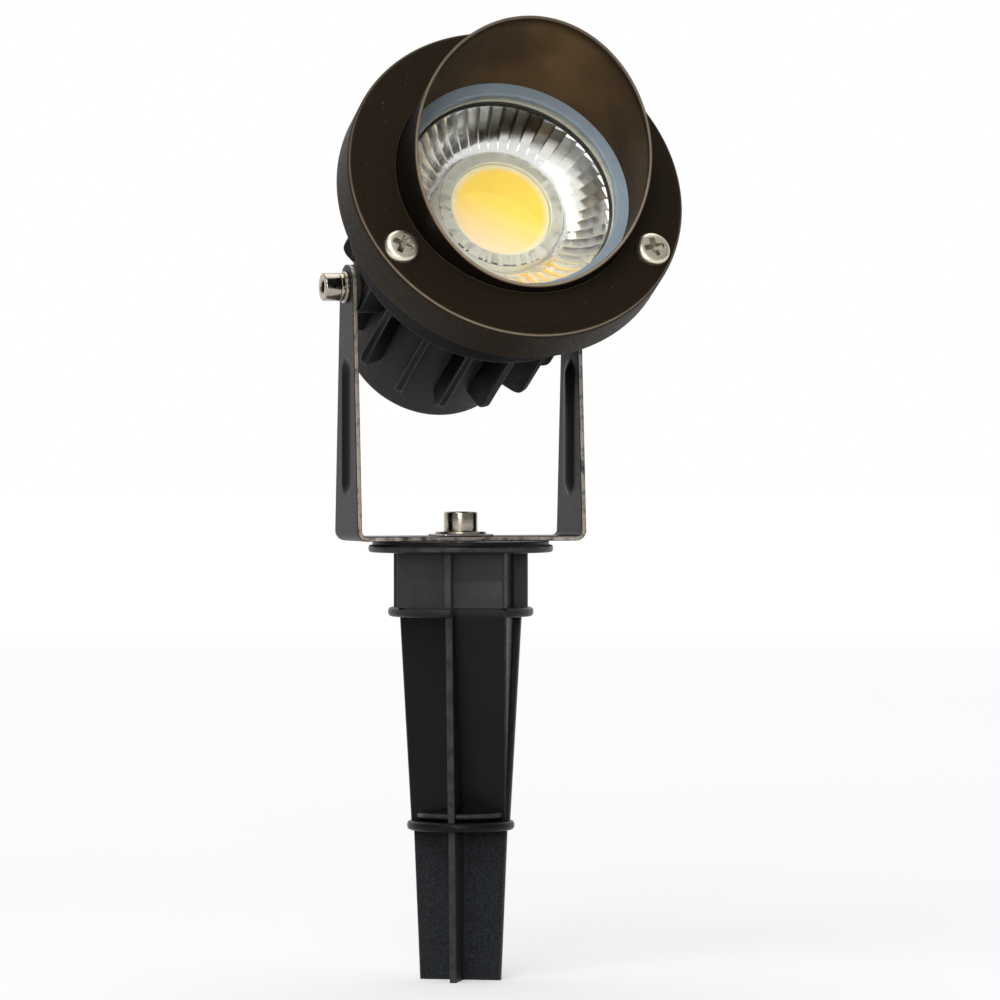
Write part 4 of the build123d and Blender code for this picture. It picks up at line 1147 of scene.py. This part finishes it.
def bezel_painted_highlights(sides):
    """Painted highlight rows, each a bell over the rows of the profile: the rounding of the last corner, the
    face's outer edge, and that of the third, the edge of the hole.  Both are painted brightest low on the face, a
    little to the left."""
    rows = np.arange(len(bezel_profile))
    outer_row = 10 * edge_steps + 5
    hole_row = 2 * edge_steps + 4
    outer = 0.8 * np.exp(-(((rows - outer_row) / 1.1) ** 2))
    hole = 0.6 * np.exp(-(((rows - hole_row) / 2) ** 2))
    angle = np.linspace(0, 2 * np.pi, sides + 1)
    low_side = (1 + np.cos(angle - math.radians(255))) / 2
    return (outer + hole)[:, None] * (0.2 + 0.8 * low_side ** 2)


bezel_sides = 192
bezel = moulded("bezel_ring", [on_beam(turned(bezel_profile, bezel_sides))], wear=[bezel_painted_highlights(bezel_sides)])
bronze = bronze_coat()
bezel.data.materials.append(bronze)
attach(bezel, "head")
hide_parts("bezel")

# Glare hood: a thin spun tube with a turned-out foot that is gripped under the bezel.  Its mouth is cut at
# a slant, longest at the top, and it has the bezel's bronze coat, with a painted highlight round the cut rim,
# a painted warm glow of the lamp's light inside and painted shade outside.
hood_radius = 0.0302
hood_wall = 0.0008
hood_foot_radius = 0.0328
hood_foot = 0.0482
hood_flange = 0.0010
hood_reach = 0.0155
hood_slant = 0.434
hood_rim_fullness = 0.7


def hood_tube():
    """Rows of (radius, share of the height, offset) round the beam: level = foot + share (mouth - foot) +
    offset, where the mouth's level is face + reach + slant r sin(angle).  A second array is painted light on
    the coat: a painted highlight on the rim, least at the top, a painted warm glow of the lamp's light inside,
    most at the top, and painted shade outside."""
    q = np.linspace(0, np.pi, 9)
    wall = hood_wall / 2
    middle = hood_radius - wall
    shares = np.linspace(0, 1, 9)[1:-1]
    radius = np.concatenate([[hood_foot_radius, hood_foot_radius, hood_radius], hood_radius + 0 * shares,
                             middle + wall * np.cos(q), hood_radius - hood_wall + 0 * shares,
                             [hood_radius - hood_wall, hood_foot_radius]])
    share = np.concatenate([[0, 0, 0], shares, 1 + 0 * q, shares[::-1], [0, 0]])
    offset = np.concatenate([[0, hood_flange, hood_flange], hood_flange * (1 - shares),
                             hood_rim_fullness * wall * (np.sin(q) - 1), 0 * shares, [0, 0]])
    angle = np.linspace(0, 2 * np.pi, 193)
    mouth = bezel_face + hood_reach + hood_slant * radius[:, None] * np.sin(angle)
    level = hood_foot + share[:, None] * (mouth - hood_foot) + offset[:, None]
    # Painted highlight on the rim, painted warm lamp light inside, painted shade outside.
    painted_highlight = np.concatenate([np.zeros(3), 0 * shares, np.sin(q) ** 2, np.zeros(9)])[:, None]
    painted_highlight = painted_highlight * (0.70 - 0.30 * np.sin(angle))
    inside = np.concatenate([np.zeros(3), 0 * shares, 0 * q, 1 + 0 * shares, [1, 0]])[:, None]
    lamp_glow = 0.11 + 0.19 * np.clip(np.sin(angle + 0.25), 0, 1) ** 4
    outside = np.concatenate([np.ones(3), 1 + 0 * shares, q == 0, 0 * shares, [0, 0]])[:, None]
    return polar(radius[:, None], angle, level), painted_highlight - inside * lamp_glow - 2 * outside


hood_grid, hood_painted_light = hood_tube()
hood = moulded("glare_hood_tube", [on_beam(hood_grid)], crease=50, wear=[hood_painted_light])
hood.data.materials.append(bronze)
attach(hood, "head")
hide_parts("glare_hood")

# Bezel screws: three low domed cross-slot screws of nickel-plated steel on the face, one at the top and
# two below, that draw the bezel to the housing's flange.
screw_circle = 0.0370
screw_head_radius = 0.0043
screw_head_height = 0.0020
screw_rim = 0.0006
slot_length = 0.0051
slot_width = 0.0015
slot_depth = 0.0014
slot_wall = 0.00016
slot_rise = 0.55
slot_turns = (0.35, 1.05, 0.15)


def cross_head(turn):
    """Polar grid of a domed head: height = rim + (top - rim) sqrt(1 - (r/R)^6), less a cross whose floor
    rises outwards and whose wall is a smooth step of the distance from its edge.  A second array marks the
    slot."""
    radius = screw_head_radius * np.linspace(0, 1, 49)[:, None]
    angle = np.linspace(0, 2 * np.pi, 161)
    x = radius * np.cos(angle - turn)
    y = radius * np.sin(angle - turn)
    far = np.maximum(np.abs(x), np.abs(y))
    near = np.minimum(np.abs(x), np.abs(y))
    inside = np.minimum(slot_width / 2 - near, slot_length / 2 - far)
    step = np.clip(inside / slot_wall, 0, 1)
    sunk = slot_depth * (1 - slot_rise * far / (slot_length / 2)) * step ** 2 * (3 - 2 * step)
    dome = screw_rim + (screw_head_height - screw_rim) * np.sqrt(1 - (radius / screw_head_radius) ** 6)
    head = polar(radius, angle, dome - sunk)
    skirt = turned([[screw_head_radius, 0.0], [0.0, 0.0]], 160)
    return np.concatenate([head, skirt]), np.concatenate([step, np.zeros((2, 161))])


def screw_at(grid, around):
    """A screw's points moved to the bezel's face on the screw circle."""
    return on_beam(grid + [screw_circle * math.cos(around), screw_circle * math.sin(around), bezel_face])


screw_turns = np.radians([90.0, 210.0, 330.0])
cross_heads = [cross_head(slot) for slot in slot_turns]
screw_grids = [screw_at(head, around) for (head, recess), around in zip(cross_heads, screw_turns)]
# The screws' cross recesses are marked to be darker.
screw_recess_darkening = [recess for head, recess in cross_heads]
bezel_screws = moulded("bezel_screws_steel", screw_grids, crease=40, wear=screw_recess_darkening)
satin_steel = bright_steel("satin_steel", (0.70, 0.64, 0.51), (0.84, 0.77, 0.62), 0.30, 0.42)
bezel_screws.data.materials.append(satin_steel)
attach(bezel_screws, "head")
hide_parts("bezel_screws")

# Cable gland: black nylon, screwed through the drum's rear wall.  A hexagon flange and a grooved clamping
# nut press a rubber seal round the hole for a cord, which is left open.
gland_hex_rear = -0.0352
gland_nut_radius = 0.0082
gland_nut_rear = -0.0457
gland_nut_round = 0.0020
gland_edge = 0.0005
gland_hole = 0.0037
gland_groove = 0.00035
gland_grooves = 18
grip_start = 0.0066
grip_growth = 0.0012


def gland_nut():
    """Turned nut with grip grooves: the radius of its side is drawn in by groove (1 - |cos(n a / 2)|)^2,
    where a is the angle round the nut."""
    profile = softened([[gland_hole, gland_hex_rear], [gland_nut_radius, gland_hex_rear],
                        [gland_nut_radius, gland_nut_rear], [gland_hole, gland_nut_rear]],
                       [0, gland_edge, gland_nut_round, gland_edge], steps=9)
    sides = 216
    grid = turned(profile, sides)
    angle = np.linspace(0, 2 * np.pi, sides + 1)
    side = np.clip((np.hypot(grid[..., 0], grid[..., 1]) - grip_start) / grip_growth, 0, 1)
    valley = (1 - np.abs(np.cos(gland_grooves * angle / 2))) ** 2
    shrink = 1 - side * valley * gland_groove / gland_nut_radius
    return grid * np.stack([shrink, shrink, 1 + 0 * shrink], axis=-1)


nut = moulded("gland_nut_grip", [on_beam(gland_nut())])
nut.data.materials.append(black_plastic)
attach(nut, "head")
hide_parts("gland_nut")
dress(["gland_body"], black_plastic)
seal_rubber = plain_finish("seal_rubber", (0.014, 0.014, 0.014), (0.024, 0.024, 0.023), 500, 0.66)
dress(["gland_seal"], seal_rubber)

# Studio: a wide pale floor just under the ground line, a white backdrop behind it, a dimmer room in front,
# and soft lamps above, on the left and beside the camera, whose long lens stands low in front, a little to
# the left.
floor_reach = 12.0
floor_level = -0.0018
sensor_width = 36.0
focal_length = 205.45
camera_spot = (-0.4392, -1.3642, 0.1355)
camera_turn = math.radians(18.24)
camera_dip = math.radians(0.672)

floor_mesh = bpy.data.meshes.new("studio_floor")
floor_radii = [0.0, 0.3, 1.5, floor_reach]
floor_ring = turned([[radius, floor_level] for radius in floor_radii], 96)
floor_mesh.from_pydata(floor_ring.reshape(-1, 3), [], grid_faces(*floor_ring.shape[:2]))
floor_piece = bpy.data.objects.new("studio_floor", floor_mesh)
bpy.context.scene.collection.objects.link(floor_piece)
floor_material, floor_tree, floor_shader = finish("studio_floor")
floor_tint = mixed(floor_tree, cloud(floor_tree, 3), (0.59, 0.59, 0.59), (0.61, 0.61, 0.61))


def seen_share(tree, mirrored=None):
    """1 for what is seen directly, through glass or in a reflection, and 0 for the light that falls on
    surfaces.  Reflections may be weighted, so that they show the backdrop only where it stands."""
    path = add(tree, "ShaderNodeLightPath", {}).outputs
    glossy = path["Is Glossy Ray"]
    if mirrored is not None:
        glossy = product(tree, glossy, mirrored)
    return larger(tree, larger(tree, path["Is Camera Ray"], path["Is Transmission Ray"]), glossy)


floor_way = vector_math(floor_tree, "LENGTH", "Value", where(floor_tree))
floor_white = spread(floor_tree, floor_way, 0.3, 3.0, 0.40, 0.78)
floor_glow = product(floor_tree, seen_share(floor_tree), floor_white)
feed(floor_tree, floor_shader, {"Base Color": floor_tint, "Roughness": 0.9, "Specular IOR Level": 0.1,
                                "Emission Strength": floor_glow, "Emission Color": (1, 1, 1, 1)})
floor_mesh.materials.append(floor_material)


def soft_lamp(name, spot, aim, size, power):
    """Square area lamp that faces a point."""
    lamp = bpy.data.lights.new(name, "AREA")
    lamp.size = size
    lamp.energy = power
    holder = bpy.data.objects.new(name, lamp)
    holder.location = spot
    holder.rotation_euler = (Vector(aim) - Vector(spot)).to_track_quat("-Z", "Y").to_euler()
    bpy.context.scene.collection.objects.link(holder)


soft_lamp("top_lamp", (0.1, 0.5, 1.8), (0, 0, 0.10), 1.6, 14)
soft_lamp("side_lamp", (-0.75, -0.95, 1.30), (0, 0, 0.13), 0.9, 10)
soft_lamp("front_lamp", (-0.75, -1.75, 0.55), (0, 0, 0.13), 0.7, 10)

room = bpy.data.worlds.new("studio_room")
room.use_nodes = True
room_tree = room.node_tree
sky = add(room_tree, "ShaderNodeTexCoord", {}).outputs["Generated"]
sky_height = add(room_tree, "ShaderNodeSeparateXYZ", {"Vector": sky}).outputs["Z"]
sky_tone = spread(room_tree, sky_height, 0.0, 0.5, 0, 1)
sight_run = (math.sin(camera_turn), math.cos(camera_turn), 0)
sky_ahead = vector_math(room_tree, "DOT_PRODUCT", "Value", sky, sight_run)
backdrop = spread(room_tree, sky_ahead, 0.15, 0.65, 0, 1)
wall_light = mixed(room_tree, backdrop, (0.15, 0.15, 0.15), (0.55, 0.55, 0.55))
sky_light = mixed(room_tree, sky_tone, wall_light, (0.38, 0.38, 0.385))
sky_colour = mixed(room_tree, seen_share(room_tree, backdrop), sky_light, (1.0, 1.0, 1.0))
room_tree.links.new(sky_colour, room_tree.nodes["Background"].inputs["Color"])
bpy.context.scene.world = room

camera = bpy.data.cameras.new("camera")
camera.sensor_width = sensor_width
camera.lens = focal_length
camera_piece = bpy.data.objects.new("camera", camera)
camera_piece.location = camera_spot
level_run = math.cos(camera_dip)
sight = Vector((level_run * math.sin(camera_turn), level_run * math.cos(camera_turn), -math.sin(camera_dip)))
camera_piece.rotation_euler = sight.to_track_quat("-Z", "Y").to_euler()
bpy.context.scene.collection.objects.link(camera_piece)
bpy.context.scene.camera = camera_piece
bpy.context.scene.view_settings.view_transform = "Standard"
